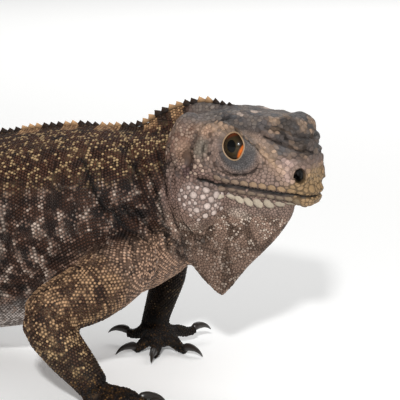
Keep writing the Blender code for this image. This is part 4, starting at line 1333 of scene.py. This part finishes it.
def hide_colour(row, chance, shares, crest, folds):
    """The colour of each place by the parts it belongs to, with painted shade in deep folds and at limb
    roots.
    """
    total = np.zeros((len(row), 3))
    for k, part in enumerate(PARTS):
        some = np.flatnonzero(shares[:, k] > 0.01)
        if len(some) == 0:
            continue
        place, luck = row[some], chance[some]
        if part == "head":
            tone = head_colour(place, luck)
        elif part == "trunk":
            tone = trunk_colour(place, luck)
        elif part == "tail":
            tone = tail_colour(place, luck, crest)
        elif part.startswith("foot_"):
            tone = foot_colour(place, luck, part)
        else:
            tone = limb_colour(place, luck, part)
        total[some] += tone * shares[some, k][:, None]
    total = crest_band(row, chance, total / np.maximum(shares.sum(1), 1e-6)[:, None], crest)
    # Painted shade: darker where a limb's share meets the trunk's round each limb's root, and in the deep
    # folds.
    limb = shares[:, PARTS.index("tail") + 1:].sum(1)
    limb_crease_shade = np.exp(-((limb - 0.3) / 0.2) ** 2) * smooth(shares[:, PARTS.index("trunk")] / 0.3)
    return total * folds.shade(row)[:, None] * (1 - CREASE_PAINTED_SHADE * limb_crease_shade)[:, None]


def unwrap(part, row):
    """Where each place falls on its part's own skin, cut along one line and laid flat."""
    if part == "head":
        x, y, z = in_frame(row, HEAD_BACK).T
        return np.stack([(x + 40) / 130, np.arctan2(y, z - 8) / math.tau + 0.5], axis=1)
    x, y, z = in_frame(row, BODY_BACK).T
    if part == "trunk":
        middle = table(TRUNK, x)[0]
        return np.stack([(x + 340) / 410, np.arctan2(y, z - middle) / math.tau + 0.5], axis=1)
    if part == "tail":
        line = np.array(tail_line())
    else:
        limb = part.replace("foot_", "")
        line = flowing(np.array(LIMBS[limb])[:, :3], 12)
    line = line[::4]
    body = np.stack([x, y, z], axis=1)
    nearest = ((body[:, None, :] - line[None]) ** 2).sum(2).argmin(1)
    way = unit(np.gradient(line, axis=0))[nearest]
    side = unit(np.cross(way, (0.0, 0.0, 1.0)))
    off = body - line[nearest]
    along = nearest + (off * way).sum(1) / 8.0
    around = np.arctan2((off * side).sum(1), (off * np.cross(side, way)).sum(1))
    return np.stack([along / (len(line) + 4) + 0.03, around / math.tau + 0.5], axis=1)


def node(tree, kind, inputs, **settings):
    """A new node whose inputs are given values, or links where the value is another node's output."""
    made = tree.nodes.new(kind)
    for name, value in settings.items():
        setattr(made, name, value)
    for socket, value in inputs.items():
        if isinstance(value, bpy.types.NodeSocket):
            tree.links.new(value, made.inputs[socket])
        else:
            made.inputs[socket].default_value = value
    return made


def detail_group():
    """A group of nodes that turns a scale's tone and crown into colour, roughness and a fine grain."""
    group = bpy.data.node_groups.new("hide_detail", "ShaderNodeTree")
    for name, kind, way in (
            ("Tone", "NodeSocketColor", "INPUT"), ("Crown", "NodeSocketFloat", "INPUT"),
            ("Place", "NodeSocketVector", "INPUT"), ("Wrinkle", "NodeSocketFloat", "INPUT"),
            ("Colour", "NodeSocketColor", "OUTPUT"), ("Roughness", "NodeSocketFloat", "OUTPUT"),
            ("Normal", "NodeSocketVector", "OUTPUT")):
        group.interface.new_socket(name, in_out=way, socket_type=kind)
    source = node(group, "NodeGroupInput", {}).outputs
    grain = node(group, "ShaderNodeTexNoise", {"Scale": 1400.0, "Detail": 3.0, "Vector": source["Place"]})
    depth = node(group, "ShaderNodeMapRange", {"To Min": 0.12, "To Max": 1.0, "Value": source["Crown"]})
    stain = node(group, "ShaderNodeMapRange", {"To Min": 0.72, "To Max": 1.28, "Value": grain.outputs["Fac"]})
    both = node(group, "ShaderNodeMath", {0: depth.outputs["Result"], 1: stain.outputs["Result"]},
                operation="MULTIPLY")
    scaled = node(group, "ShaderNodeVectorMath", {0: source["Tone"], "Scale": both.outputs["Value"]},
                  operation="SCALE")
    rough = node(group, "ShaderNodeMapRange", {"To Min": 0.7, "To Max": 0.46, "Value": source["Crown"]})
    bump = node(group, "ShaderNodeBump", {"Strength": 0.35, "Distance": 0.0002,
                                          "Height": grain.outputs["Fac"]})
    wrinkle = node(group, "ShaderNodeTexNoise", {"Scale": 300.0, "Detail": 3.0, "Distortion": 0.6,
                                                 "Vector": source["Place"]})
    creased = node(group, "ShaderNodeBump", {"Distance": 0.0014, "Strength": source["Wrinkle"],
                                             "Height": wrinkle.outputs["Fac"],
                                             "Normal": bump.outputs["Normal"]})
    node(group, "NodeGroupOutput", {"Colour": scaled.outputs["Vector"], "Roughness": rough.outputs["Result"],
                                    "Normal": creased.outputs["Normal"]})
    return group


def hide_material(name, group, wrinkle):
    """The hide: colours carried by the mesh, with the shared grain."""
    made, tree, shader = plain(name, (0.1, 0.08, 0.06), 0.5)
    shader.inputs["Specular IOR Level"].default_value = 0.18
    place = node(tree, "ShaderNodeTexCoord", {})
    moved = node(tree, "ShaderNodeMapping", {"Location": BODY.translation * -MM,
                                             "Vector": place.outputs["Object"]})
    tone = node(tree, "ShaderNodeAttribute", {}, attribute_name="hide")
    crown = node(tree, "ShaderNodeAttribute", {}, attribute_name="crown")
    detail = tree.nodes.new("ShaderNodeGroup")
    detail.node_tree = group
    detail.inputs["Wrinkle"].default_value = wrinkle
    for socket, output in (("Place", moved.outputs["Vector"]), ("Tone", tone.outputs["Color"]),
                           ("Crown", crown.outputs["Fac"])):
        tree.links.new(output, detail.inputs[socket])
    for output, socket in (("Colour", "Base Color"), ("Roughness", "Roughness"), ("Normal", "Normal")):
        tree.links.new(detail.outputs[output], shader.inputs[socket])
    return made


def eye_material(name, hand):
    """A round pupil in a dark olive iris that turns orange at the front and red above."""
    made, tree, shader = plain(name, (0.1, 0.06, 0.02), 0.25)
    for socket, value in (("Specular IOR Level", 0.1), ("Coat Weight", 0.12), ("Coat Roughness", 0.02)):
        shader.inputs[socket].default_value = value
    looking = gaze(hand)
    place = node(tree, "ShaderNodeTexCoord", {})
    moved = node(tree, "ShaderNodeMapping", {}, vector_type="TEXTURE")
    moved.inputs["Location"].default_value = looking.translation * MM
    moved.inputs["Rotation"].default_value = looking.to_euler()
    moved.inputs["Scale"].default_value = [EYE_RADIUS * MM] * 3
    tree.links.new(place.outputs["Object"], moved.inputs["Vector"])
    flat = node(tree, "ShaderNodeVectorMath", {0: moved.outputs["Vector"], 1: (1.0, 0.8, 0.0)},
                operation="MULTIPLY").outputs["Vector"]
    radius = node(tree, "ShaderNodeVectorMath", {0: flat}, operation="LENGTH").outputs["Value"]
    rays = node(tree, "ShaderNodeVectorMath", {0: flat}, operation="NORMALIZE")
    spread = node(tree, "ShaderNodeCombineXYZ", {"Z": radius})
    joined = node(tree, "ShaderNodeVectorMath", {0: rays.outputs["Vector"], 1: spread.outputs["Vector"]})
    streak = node(tree, "ShaderNodeTexNoise", {"Scale": 7.0, "Detail": 4.0,
                                               "Vector": joined.outputs["Vector"]})
    ring = node(tree, "ShaderNodeValToRGB", {"Fac": radius})
    ramp = ring.color_ramp.elements
    for element, (position, colour) in zip(ramp, IRIS_ENDS):
        element.position = position
        element.color = (*colour, 1.0)
    for position, colour in IRIS_RINGS:
        ramp.new(position).color = (*colour, 1.0)
    mixed = ring.outputs["Color"]
    ahead = 1.0 if hand else -1.0
    for (forward, up), low, high, colour in IRIS_STAINS:
        turned = node(tree, "ShaderNodeVectorMath", {0: flat, 1: (forward * ahead, up, 0.0)},
                      operation="DOT_PRODUCT")
        share = node(tree, "ShaderNodeMapRange", {"From Min": low, "From Max": high,
                                                  "Value": turned.outputs["Value"]},
                     interpolation_type="SMOOTHSTEP").outputs["Result"]
        mixed = node(tree, "ShaderNodeMix", {"A": mixed, "B": (*colour, 1.0), "Factor": share},
                     data_type="RGBA").outputs["Result"]
    shade = node(tree, "ShaderNodeMapRange", {"To Min": 0.55, "To Max": 1.5, "Value": streak.outputs["Fac"]})
    final = node(tree, "ShaderNodeVectorMath", {0: mixed, "Scale": shade.outputs["Result"]},
                 operation="SCALE")
    tree.links.new(final.outputs["Vector"], shader.inputs["Base Color"])
    return made


# Colours of the eye by the distance from the middle of the pupil: the first and last, and those between.
IRIS_ENDS = ((0.0, (0.002, 0.002, 0.002)), (0.80, (0.012, 0.009, 0.006)))
IRIS_RINGS = (
    (0.325, (0.001, 0.001, 0.001)),
    (0.350, (0.030, 0.020, 0.009)),
    (0.46, (0.026, 0.018, 0.008)),
    (0.62, (0.014, 0.008, 0.004)),
)
# Stains of the iris: the way they lie, forward and up, where they start and are full, colour.
IRIS_STAINS = (
    ((-0.25, 0.97), 0.40, 0.62, (0.085, 0.020, 0.007)),
    ((0.80, -0.60), 0.50, 0.62, (0.40, 0.09, 0.010)),
)


def eyeballs():
    """The two eyes, each a smooth ball that looks out between its lids."""
    for hand, side in enumerate(("left", "right")):
        shape = bmesh.new()
        bmesh.ops.create_uvsphere(shape, u_segments=64, v_segments=40, radius=EYE_RADIUS * MM)
        place = Matrix.Translation(gaze(hand).translation * MM) @ gaze(hand).to_3x3().to_4x4()
        bmesh.ops.transform(shape, matrix=place, verts=shape.verts)
        eye = object_of(f"eyeball_{side}", shape)
        eye.data.shade_smooth()
        eye.data.materials.append(eye_material(f"iris_{side}", hand))
        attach(eye, "root")
        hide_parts(f"eye_{side}")


def lid_rims(material):
    """The pale rolled edge of the lids round each eye."""
    for hand, side in enumerate(("left", "right")):
        curve = bpy.data.curves.new(f"lid_rim_{side}", "CURVE")
        curve.dimensions = "3D"
        curve.bevel_depth = RIM_RADIUS * MM
        curve.bevel_resolution = 3
        around = np.linspace(0, math.tau, 73)[:-1]
        spline = curve.splines.new("POLY")
        spline.points.add(len(around) - 1)
        spline.use_cyclic_u = True
        for point, turn in zip(spline.points, around):
            point.co = (*(lid_edge(hand, turn, RIM_REACH) * MM), 1.0)
        rim = new_object(f"lid_rim_{side}", curve)
        made = bpy.data.meshes.new_from_object(rim)
        bpy.data.objects.remove(rim)
        rim = new_object(f"lid_rim_{side}", made)
        made.shade_smooth()
        made.materials.append(material)
        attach(rim, "root")


# How far the claws' roots reach back into the toes.
CLAW_ROOT = 2.2


def claws(material):
    """The claws of the solids, rounded, with their roots in the toes."""
    for limb in LIMB_NAMES:
        ankle = BODY @ Vector(LIMBS[limb][-1][:3]) * MM
        for toe in range(1, 6):
            name = f"claw_{limb}_{toe}"
            shape = bmesh.new()
            shape.from_mesh(nodes[name].data)
            bmesh.ops.remove_doubles(shape, verts=shape.verts, dist=1e-6)
            tip = max((v.co.copy() for v in shape.verts), key=lambda place: (place - ankle).length)
            far = max((v.co - tip).length for v in shape.verts)
            for vertex in shape.verts:
                away = vertex.co - tip
                root = float(smooth((away.length / far - 0.6) / 0.3))
                vertex.co += away.normalized() * root * CLAW_ROOT * MM
            claw = object_of(f"nail_{limb}_{toe}", shape)
            claw.data.shade_smooth()
            claw.data.materials.append(material)
            rounded = claw.modifiers.new("Round", "SUBSURF")
            rounded.levels = 1
            rounded.render_levels = 1
            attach(claw, "root")
            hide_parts(name)


# Spines: how tall and how long at the root by the distance along the crest, back past the tail's end.
SPINES = (
    (0, 0.6, 1.6), (11, 0.9, 1.7), (24, 2.4, 2.7), (55, 2.8, 2.8), (90, 2.0, 2.6), (330, 1.9, 2.5),
    (420, 2.1, 2.4), (700, 1.9, 2.0), (900, 0.7, 1.2),
)


# How deep the spines' roots are sunk, and how much of their height that hides.
SPINE_SUNK = 1.4
SPINE_HIDDEN = 1.2


def crest_spines(line, crest, material):
    """The row of spines along the nape, back and tail, in blocks of tan and dark."""
    at = np.arange(SPINE_START, crest.run[-1] - 4.0, SPINE_PITCH)
    places = np.stack([np.interp(at, crest.run, line[:, k]) for k in range(3)], axis=1)
    ahead = np.stack([np.interp(at + 3.0, crest.run, line[:, k]) for k in range(3)], axis=1)
    tall, long = table(SPINES, at)
    tall = tall * rng.uniform(0.88, 1.12, len(at))
    sizes = np.stack([long * 1.12, long * 0.52, tall + SPINE_HIDDEN], axis=1)
    outs = np.zeros_like(places)
    outs[:, 2] = 1.0
    outs += rng.normal(0, 0.05, outs.shape)
    turns = lying(np.cross(unit(ahead - places), np.cross(outs, unit(ahead - places))), ahead - places)
    places[:, 2] -= SPINE_SUNK
    dark = crest_block(at) == 0
    tones = np.where(dark[:, None], CREST_DARK, CREST_TAN) * rng.uniform(0.8, 1.2, (len(at), 1))
    roots = np.stack([at / (crest.run[-1] + 5), np.full(len(at), 0.5)], axis=1)
    spines = laid("crest_spines", Template(spine_shape()), places, turns, sizes, tones, roots)
    spines.data.materials.append(material)
    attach(spines, "root")


# Plates of each side of the head by their places, with a radius where it changes along the row.
UPPER_LIP = (
    (31, 27, 2.6), (35.5, 24.6, 2.5), (40.5, 22.6, 2.4), (45.5, 21, 2.2), (50.5, 19.6, 2.1),
    (55.5, 18.3, 2.0), (60.7, 16.9, 1.9), (66, 15.4, 1.8), (71, 13.2, 1.9), (75.3, 9.8, 2.1),
    (77.9, 5.2, 2.2),
)
LOWER_LIP = (
    (33, 24, -1.9), (38, 21.6, -2.3), (43.2, 19.6, -3), (48.6, 17.6, -3.3), (54, 16, -3.6),
    (59.3, 14.8, -3.5), (64.3, 13.4, -3.4), (69, 11.4, -3.4), (73, 8.4, -3.8), (75.6, 4.4, -4.4),
)
SUBLABIALS = (
    (32.2, 21.5, -7.4, 2.2), (36.4, 19.4, -8.2, 2.3), (41, 17.4, -8.6, 2.5), (46, 15.6, -8.8, 2.6),
    (51.4, 13.8, -8.8, 2.8), (57.2, 12, -8.6, 2.9), (63, 9.4, -8.2, 2.7), (67.6, 6.0, -8.0, 2.3),
)
JOWL_PLATES = (
    (26.2, 28.4, -3.0, 2.4), (30, 23.4, -6.1, 2.5), (24.6, 29.1, -7.2, 1.8), (28.3, 25.6, -8.5, 2.1),
    (26.4, 26.6, -12.7, 2.3), (21.2, 29.1, -15.5, 1.9), (28.5, 21.9, -16.9, 1.9),
    (25.2, 25.5, -18.8, 1.9), (19.6, 31, -6.7, 2.3), (16.2, 31.2, -3, 1.4), (21.3, 30.5, -2, 1.2),
    (17.3, 30.8, -11.7, 1.2), (20.7, 30.2, -11.3, 1.1), (29.5, 22.5, -12.4, 1.3),
    (32.2, 18.2, -15.4, 1.2), (33, 21.6, -6.2, 1.4), (14.7, 31.1, -8.7, 1.2), (14, 30.4, -13.6, 1.1),
    (21.5, 26.4, -21.5, 1.1), (11.5, 31, -5.5, 1.1), (35.8, 20.4, -5.6, 1.2), (10.5, 30.5, -11, 1.0),
    (17.5, 28.6, -19, 1.0),
)
UNDER_EYE = (
    (27.5, 27.6, 14.5), (29.2, 27.2, 11.6), (32.4, 26.2, 9.4), (36.4, 25.2, 8.0), (41, 23.8, 7.5),
    (45.6, 22.6, 8.6), (50, 21.4, 10.8), (53.8, 20.6, 13.6), (56.6, 20, 16.8),
)
BROW_ROW = (
    (26, 23, 35), (29.4, 23.2, 34.4), (32.8, 23.5, 33.8), (36.2, 23.9, 33.2), (39.6, 24.3, 32.2),
    (43, 24.3, 31), (46.2, 23.8, 29), (49.2, 22.8, 26.9), (52, 21.8, 24.9), (54.8, 21.3, 22.9),
    (57.6, 20.9, 20.9), (60.4, 20.2, 18.8),
)
TEMPLE_PLATES = (
    (20.2, 29.6, 12.9, 1.3), (22.6, 29.2, 13.2, 1.1), (17.9, 28.6, 8.8, 1.4), (21.4, 28.6, 10.1, 1.2),
    (23.3, 28, 16.4, 1.2), (19, 28.9, 5.6, 1.1), (22.6, 28.3, 7.2, 1.0), (25, 27.9, 14.6, 1.0),
    (17.4, 29.4, 14.6, 1.0), (16, 29.8, 5.4, 1.0), (14.6, 30, 2.5, 0.9),
)
CROWN_PLATES = ((41, 7.5, 41, 2.2), (33, 16.5, 38, 1.9), (39.6, 14, 39.4, 1.6))

# Tones of the named plates by kind, at the front of the head and at its back.
PLATE_TONES = {
    "upper": (LIP_OCHRE * 0.75, LIP_BACK * 0.7), "lower": (LIP_GREY * 0.62, LIP_BACK * 0.55),
    "sub": (CHIN_PALE * 0.62, CHIN_PALE * 0.72), "jowl": (JOWL_CREAM * 0.72, JOWL_CREAM * 0.72),
    "under": (CHEEK_PINK * 0.95, CHEEK_PINK * 0.9), "brow": (BROW_TAN * 0.8, BROW_TAN * 0.75),
    "temple": (TEMPLE_CREAM * 0.9, TEMPLE_CREAM * 0.9),
}

# Rows of named plates: the radius where it is one for the row, the rise as a share of it, and the kind.
NAMED_PLATES = (
    (UPPER_LIP, (2.8, 0.13, "upper")),
    (LOWER_LIP, (2.7, 0.13, "lower")),
    (SUBLABIALS, (0.20, "sub")),
    (JOWL_PLATES, (0.42, "jowl")),
    (UNDER_EYE, (1.75, 0.20, "under")),
    (BROW_ROW, (1.5, 0.30, "brow")),
    (TEMPLE_PLATES, (0.45, "temple")),
    (CROWN_PLATES, (0.12, "crown")),
)


def plate_radius(place):
    """The radius of the unnamed plates over the head, in millimetres."""
    x, y, z = place[:, 0], np.abs(place[:, 1]), place[:, 2]
    local = np.stack([x, y, z], axis=1)
    radius = np.full(len(place), 1.0)
    radius = np.where(z > 31, 1.15, radius)
    radius = np.where((x > 50) & (z > 15), 1.3, radius)
    radius = np.where((x > 62) & (z > 2), 1.35, radius)
    radius = np.where((x < 24) & (z > -2) & (z < 32), 0.85, radius)
    radius = np.where((x > 30) & (x < 62) & (z < 16) & (z > 2), 0.95, radius)
    radius = np.where(off_centre(local, (42, 24, 21), (12.5, 9, 12.5)) < 1.25, 0.52, radius)
    radius = np.where(z < -5, 0.72, radius)
    radius = np.where((z < -14) | (x < -2), 0.62, radius)
    radius = np.where(z < -30, 0.72, radius)
    radius = np.where((x < 4) & (z > -6), 0.95, radius)
    jowl = off_centre(local, (22, 27, -10), (14, 14, 13)) < 1
    return np.where(jowl, rng.uniform(0.65, 1.5, len(place)), radius)


def plate_rise(place):
    """How far the unnamed plates rise, as a share of their radius: least on the snout."""
    x, _, z = place.T
    rise = np.full(len(place), 0.15)
    rise = np.where(z > 31, 0.12, rise)
    rise = np.where((x > 50) & (z > 15), 0.06, rise)
    rise = np.where((x > 62) & (z > 2), 0.06, rise)
    rise = np.where((x < 24) & (z > -2) & (z < 32), 0.26, rise)
    rise = np.where(z < -5, 0.40, rise)
    return rise * rng.uniform(0.8, 1.2, len(place))


def head_bare(row, folds):
    """Where the head has no plates: inside the lids' edge, the nostrils, the mouth's line and the ears."""
    local = in_frame(row, HEAD_BACK)
    local[:, 1] = np.abs(local[:, 1])
    bare = nostril_share(local) < 1.3
    for line in folds.mouth:
        bare |= away_from(row, line) < 0.7
    bare |= off_centre(local, EAR, (3.4, 6, 5.2)) < 1
    for hand in (0, 1):
        apart, off, around = eye_angles(row, hand)
        bare |= (apart < LID_RADIUS + 3) & (off < lid_angle(around, 5.0))
    return bare


# Where the head's plates and fine skin begin, back and down, in the head's frame.
FINE_BACK = -14.0
FINE_DOWN = -42.0
# Tries for a plate to a square millimetre of the head.
PLATE_TRIES = 6.0
# How near two plates' middles come, as a share of their radii, and from which radius a plate is big.
PLATE_SPACING = 0.88
BIG_PLATE = 2.4
MOSAIC_CELL = 3.0


def cell_of(place):
    """The cell of the mosaic's grid that holds a place."""
    return tuple(int(v // MOSAIC_CELL) for v in place)


def clear_of(place, radius, others):
    """Whether a plate of this radius keeps off all of some others, given as places and radii."""
    for other, reach in others:
        least = (radius + reach) * PLATE_SPACING
        apart = (place[0] - other[0]) ** 2 + (place[1] - other[1]) ** 2 + (place[2] - other[2]) ** 2
        if apart < least * least:
            return False
    return True


def head_mosaic(skin, surface, regions, folds):
    """Roots, outward ways, radii, rises and kinds of all the plates of the head."""
    places, outs = [], []
    kinds, radii, rises = [], [], []
    for x, y, z, radius, rise, kind in [(*p, *rest) for row, rest in NAMED_PLATES for p in row]:
        for hand in ((0, 1) if y > 0.5 else (0,)):
            spot, out, _, _ = surface.find_nearest(HEAD @ Vector(mirrored((x, y, z), hand)))
            places.append(tuple(spot))
            outs.append(tuple(out))
            radii.append(radius)
            rises.append(rise)
            kinds.append(kind)
    named = len(places)

    def on_head(middles):
        """Which places are near enough to the head to carry plates."""
        local = in_frame(middles, HEAD_BACK)
        return (local[:, 0] > FINE_BACK) & (np.abs(local[:, 1]) < 45)

    more, ways = spread_over(skin.data, PLATE_TRIES, on_head)
    local = in_frame(more, HEAD_BACK)
    keep = ~head_bare(more, folds)
    more, ways, size = more[keep], ways[keep], plate_radius(local[keep])
    size = size * rng.uniform(0.8, 1.25, len(size))
    grid = {}
    for p, radius in zip(places, radii):
        grid.setdefault(cell_of(p), []).append((p, radius))
    big = [(p, r) for p, r in zip(places, radii) if r > BIG_PLATE]
    taken = []
    for k in range(len(more)):
        p, radius = tuple(more[k]), size[k]
        a, b, c = cell_of(p)
        about = (grid.get((a + dx, b + dy, c + dz), ()) for dx, dy, dz in CELLS_ABOUT)
        if all(clear_of(p, radius, others) for others in about) and clear_of(p, radius, big):
            grid.setdefault((a, b, c), []).append((p, radius))
            taken.append(k)
    taken = [k for k in taken if regions.at(more[k]) == "head"]
    places = np.vstack([np.array(places), more[taken]])
    outs = np.vstack([np.array(outs), ways[taken]])
    radii = np.concatenate([radii, size[taken]])
    rises = np.concatenate([rises, plate_rise(in_frame(more[taken], HEAD_BACK))])
    kinds = kinds + ["plain"] * len(taken)
    return places, outs, radii, rises, kinds, named


# Sides of each head plate's outline, and how far the leaf-like plates under the lower lip lean.
OUTLINE_SIDES = 8
LEAF_SLANT = 0.55


def plate_walls(folds):
    """Places that no plate reaches over, with how near it may come: the mouth, nostrils and lids' edges."""
    walls = []
    for line in folds.mouth:
        walls += [(place, 0.45) for start, end in zip(line, line[1:]) for place in (start, (start + end) / 2)]
    for hand in (0, 1):
        walls.append((HEAD @ Vector(mirrored(NOSTRIL, hand)), 3.0))
        for turn in np.linspace(0, math.tau, 61)[:-1]:
            walls.append((lid_edge(hand, turn, RIM_REACH), 0.5))
    return [np.array(place) for place, _ in walls], np.array([clear for _, clear in walls])


def plate_outlines(places, turns, radii, folds):
    """How far each plate reaches on each of its sides before it meets the next or a wall."""
    walls, clears = plate_walls(folds)
    barrier, tree = tree_of(walls), tree_of(places)
    angles = np.arange(OUTLINE_SIDES) * math.tau / OUTLINE_SIDES
    ways = np.stack([np.cos(angles), np.sin(angles)])
    outlines = np.empty((len(places), OUTLINE_SIDES))
    for k, place in enumerate(places):
        reach = 2.2 * radii[k] + 2.0
        near = [j for _, j, _ in tree.find_range(place, reach) if j != k]
        limit = np.full(OUTLINE_SIDES, radii[k] * 1.45)
        if near:
            gap = places[near] - place
            flat = gap @ turns[k][:, :2]
            far = (gap ** 2).sum(1)
            flat *= (np.sqrt(far) / np.maximum(np.linalg.norm(flat, axis=1), 1e-6))[:, None]
            share = 0.5 + 0.5 * (radii[k] ** 2 - radii[near] ** 2) / far
            toward = flat @ ways
            cut = np.where(toward > 1e-6, (far * share)[:, None] / np.maximum(toward, 1e-6), np.inf)
            limit = np.minimum(limit, cut.min(0))
        for spot, j, apart in barrier.find_range(place, 1.5 * radii[k] + 3.3):
            gap = np.array(spot) - place
            flat = gap @ turns[k][:, :2]
            flat *= apart / max(np.linalg.norm(flat), 1e-6)
            toward = flat @ ways
            stop = max(apart - clears[j], 0.15 * apart) * apart
            limit = np.minimum(limit, np.where(toward > 1e-6, stop / np.maximum(toward, 1e-6), np.inf))
        outlines[k] = np.maximum(limit - 0.05, 0.25 * radii[k])
    return outlines


# The most scales and plates in one piece.
SCALES_A_PIECE = 9000
PLATES_A_PIECE = 4500


# The fill: tries to a square millimetre, how far from the rings, and its pitches, also on the feet.
FILL_TRIES = 1.6
FILL_GAP = 1.3
FILL_PITCH = 1.9
FOOT_PITCH = 1.55


def fill_scales(coat, skin, regions):
    """Random scales wherever the rings left room."""
    laid_so_far = tree_of([row[:3] for row in coat.rows])
    places, outs = spread_over(skin.data, FILL_TRIES, lambda middles: np.ones(len(middles), bool))
    ankles = {limb: np.array(BODY @ Vector(joints[-1][:3])) for limb, joints in LIMBS.items()}
    for place, out in zip(places, outs):
        nearest = laid_so_far.find(place)
        if nearest[2] < FILL_GAP:
            continue
        part = regions.at(place)
        if part == "head":
            continue
        if part.startswith("foot_"):
            lie, pitch = place - ankles[part.replace("foot_", "")] + (0.01, 0, 0), FOOT_PITCH
        else:
            lie, pitch = np.array(coat.rows[nearest[1]][6:9]), FILL_PITCH
        coat.lay(place, out, lie, pitch, FILL_APART)


def head_plates(skin, surface, regions, hide, folds):
    """The plates of the head and throat, each shaped to meet its neighbours."""
    places, outs, radii, rises, kinds, named = head_mosaic(skin, surface, regions, folds)
    lies = np.tile(np.array(HEAD.to_3x3() @ Vector((-1.0, 0.0, -0.15))), (len(places), 1))
    lies += 0.001
    turns = lying(outs, lies)
    outlines = plate_outlines(places, turns, radii, folds)
    leaf = np.flatnonzero([kind == "sub" for kind in kinds])
    hands = np.sign(in_frame(places[leaf], HEAD_BACK)[:, 1])
    outlines[leaf] *= 0.9
    along, across = turns[leaf, :, 0].copy(), turns[leaf, :, 1].copy()
    turns[leaf, :, 0] = along * 1.12
    turns[leaf, :, 1] = across * 1.3 + along * (LEAF_SLANT * hands)[:, None]
    chance = rng.random(len(places))
    tones = head_colour(places, chance) * rng.uniform(0.88, 1.12, (len(places), 1))
    for k in range(named):
        if kinds[k] in PLATE_TONES:
            front = smooth((in_frame(places[k:k + 1], HEAD_BACK)[0, 0] - 34) / 30)
            near, far = PLATE_TONES[kinds[k]]
            tones[k] = 0.7 * (far * (1 - front) + near * front) * rng.uniform(0.85, 1.15) + 0.3 * tones[k]
    # Painted shade of the deep folds, laid on the plates' colours.
    tones *= folds.shade(places)[:, None]
    sizes = np.stack([np.ones(len(places)), np.ones(len(places)), radii * rises], axis=1)
    local = in_frame(places, HEAD_BACK)
    floors = 0.26 + 0.52 * smooth((local[:, 2] - 3) / 10) + 0.08 * smooth((local[:, 0] - 48) / 12)
    floors[:named] = np.where([kind in ("jowl", "temple") for kind in kinds[:named]], 0.15, floors[:named])
    roots = unwrap("head", places)
    plate = Template(dome(OUTLINE_SIDES, ((1.0, -0.5), (0.86, 0.55), (0.5, 0.9)), 1.0))
    order = np.argsort(-in_frame(places, HEAD_BACK)[:, 0])
    for piece, ids in enumerate(np.array_split(order, len(order) // PLATES_A_PIECE + 1)):
        made = laid(f"plates_head_{piece + 1}", plate, places[ids], turns[ids], sizes[ids],
                    tones[ids], roots[ids], 0.5, outlines[ids], surface, floors[ids])
        made.data.materials.append(hide)
        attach(made, "root")


def scale_roots(skin, surface, regions):
    """The roots of all the body's scales: rings first, then what fills between them."""
    coat = Coat()
    trunk_scales(coat, surface, regions.at)
    limb_scales(coat, surface, regions.at)
    tail_scales(coat, surface, regions.at)
    fill_scales(coat, skin, regions)
    return np.array(coat.rows)


def dress_skin(skin, shares, crest, folds, material):
    """The skin's colours, darker than the scales over it, and what it stands for."""
    points = points_of(skin.data)
    tones = hide_colour(points, np.clip(mottle(points, 2.2, 20), 0, 1), shares, crest, folds)
    facing = shares[:, PARTS.index("head")]
    tones = blend(tones * 0.8, head_groove(points, np.full(len(points), 0.5), folds), facing)
    put_attribute(skin.data, "hide", "FLOAT_COLOR", tones)
    put_attribute(skin.data, "crown", "FLOAT", 0.15 + 0.6 * facing)
    skin.data.shade_smooth()
    skin.data.materials.append(material)
    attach(skin, "root")
    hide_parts(*FLESH)


def body_scales(rows, chance, shares, crest, folds, material):
    """The scales of the trunk, tail and limbs, in pieces from the back to the front."""
    tones = hide_colour(rows[:, :3], 0.30 + 0.70 * chance, shares, crest, folds)
    tips = hide_colour(rows[:, :3], 0.72 * chance, shares, crest, folds)
    part = shares.argmax(1)
    plate = Template(dome(6, ((1.0, -0.35), (0.7, 0.42)), 0.62))
    for k, name in enumerate(PARTS):
        some = np.flatnonzero(part == k)
        if len(some) == 0:
            continue
        some = some[np.argsort(rows[some, 0])]
        roots = unwrap(name, rows[some, :3])
        long = 1.25 if name == "tail" else 1.1
        chunks = np.array_split(np.arange(len(some)), len(some) // SCALES_A_PIECE + 1)
        for piece, chunk in enumerate(chunks):
            ids = some[chunk]
            pitch = rows[ids, 9]
            sizes = np.stack([pitch * 0.56 * long, pitch * 0.52, pitch * 0.42], axis=1)
            sizes *= rng.uniform(0.86, 1.1, (len(ids), 1))
            turns = lying(rows[ids, 3:6], rows[ids, 6:9])
            made = laid(f"scales_{name}_{piece + 1}", plate, rows[ids, :3], turns, sizes, tones[ids],
                        roots[chunk], 3.0, tips=tips[ids])
            made.data.materials.append(material)
            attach(made, "root")


def main():
    """The dressed animal, the camera and the studio."""
    skin = raw_skin()
    line = shave_crest(skin)
    crest = Crest(line)
    finer_head(skin)
    sculpt(skin)
    sink(skin)
    open_lids(skin)
    regions, surface, folds = Regions(), surface_of(skin.data), Folds(skin)
    rows = scale_roots(skin, surface, regions)
    local = in_frame(points_of(skin.data), HEAD_BACK)
    fewer_faces(skin, (local[:, 0] > FINE_BACK) & (local[:, 2] > FINE_DOWN))
    shares = part_shares(skin, regions)
    group = detail_group()
    hide = hide_material("hide", group, 0.15)
    face_hide = hide_material("face_hide", group, 0.8)
    dress_skin(skin, shares, crest, folds, hide)
    nearest = tree_of(points_of(skin.data))
    owner = np.array([nearest.find(place)[1] for place in rows[:, :3]])
    chance = clumped(rows[:, :3], rng.random(len(rows)))
    head_plates(skin, surface, regions, face_hide, folds)
    body_scales(rows, chance, shares[owner], crest, folds, hide)
    crest_spines(line, crest, hide)
    eyeballs()
    lid_rims(plain("lid_edge", RIM_TAN, 0.4)[0])
    claws(plain("claw_horn", CLAW_HORN, 0.35)[0])
    place_camera()
    studio()


main()
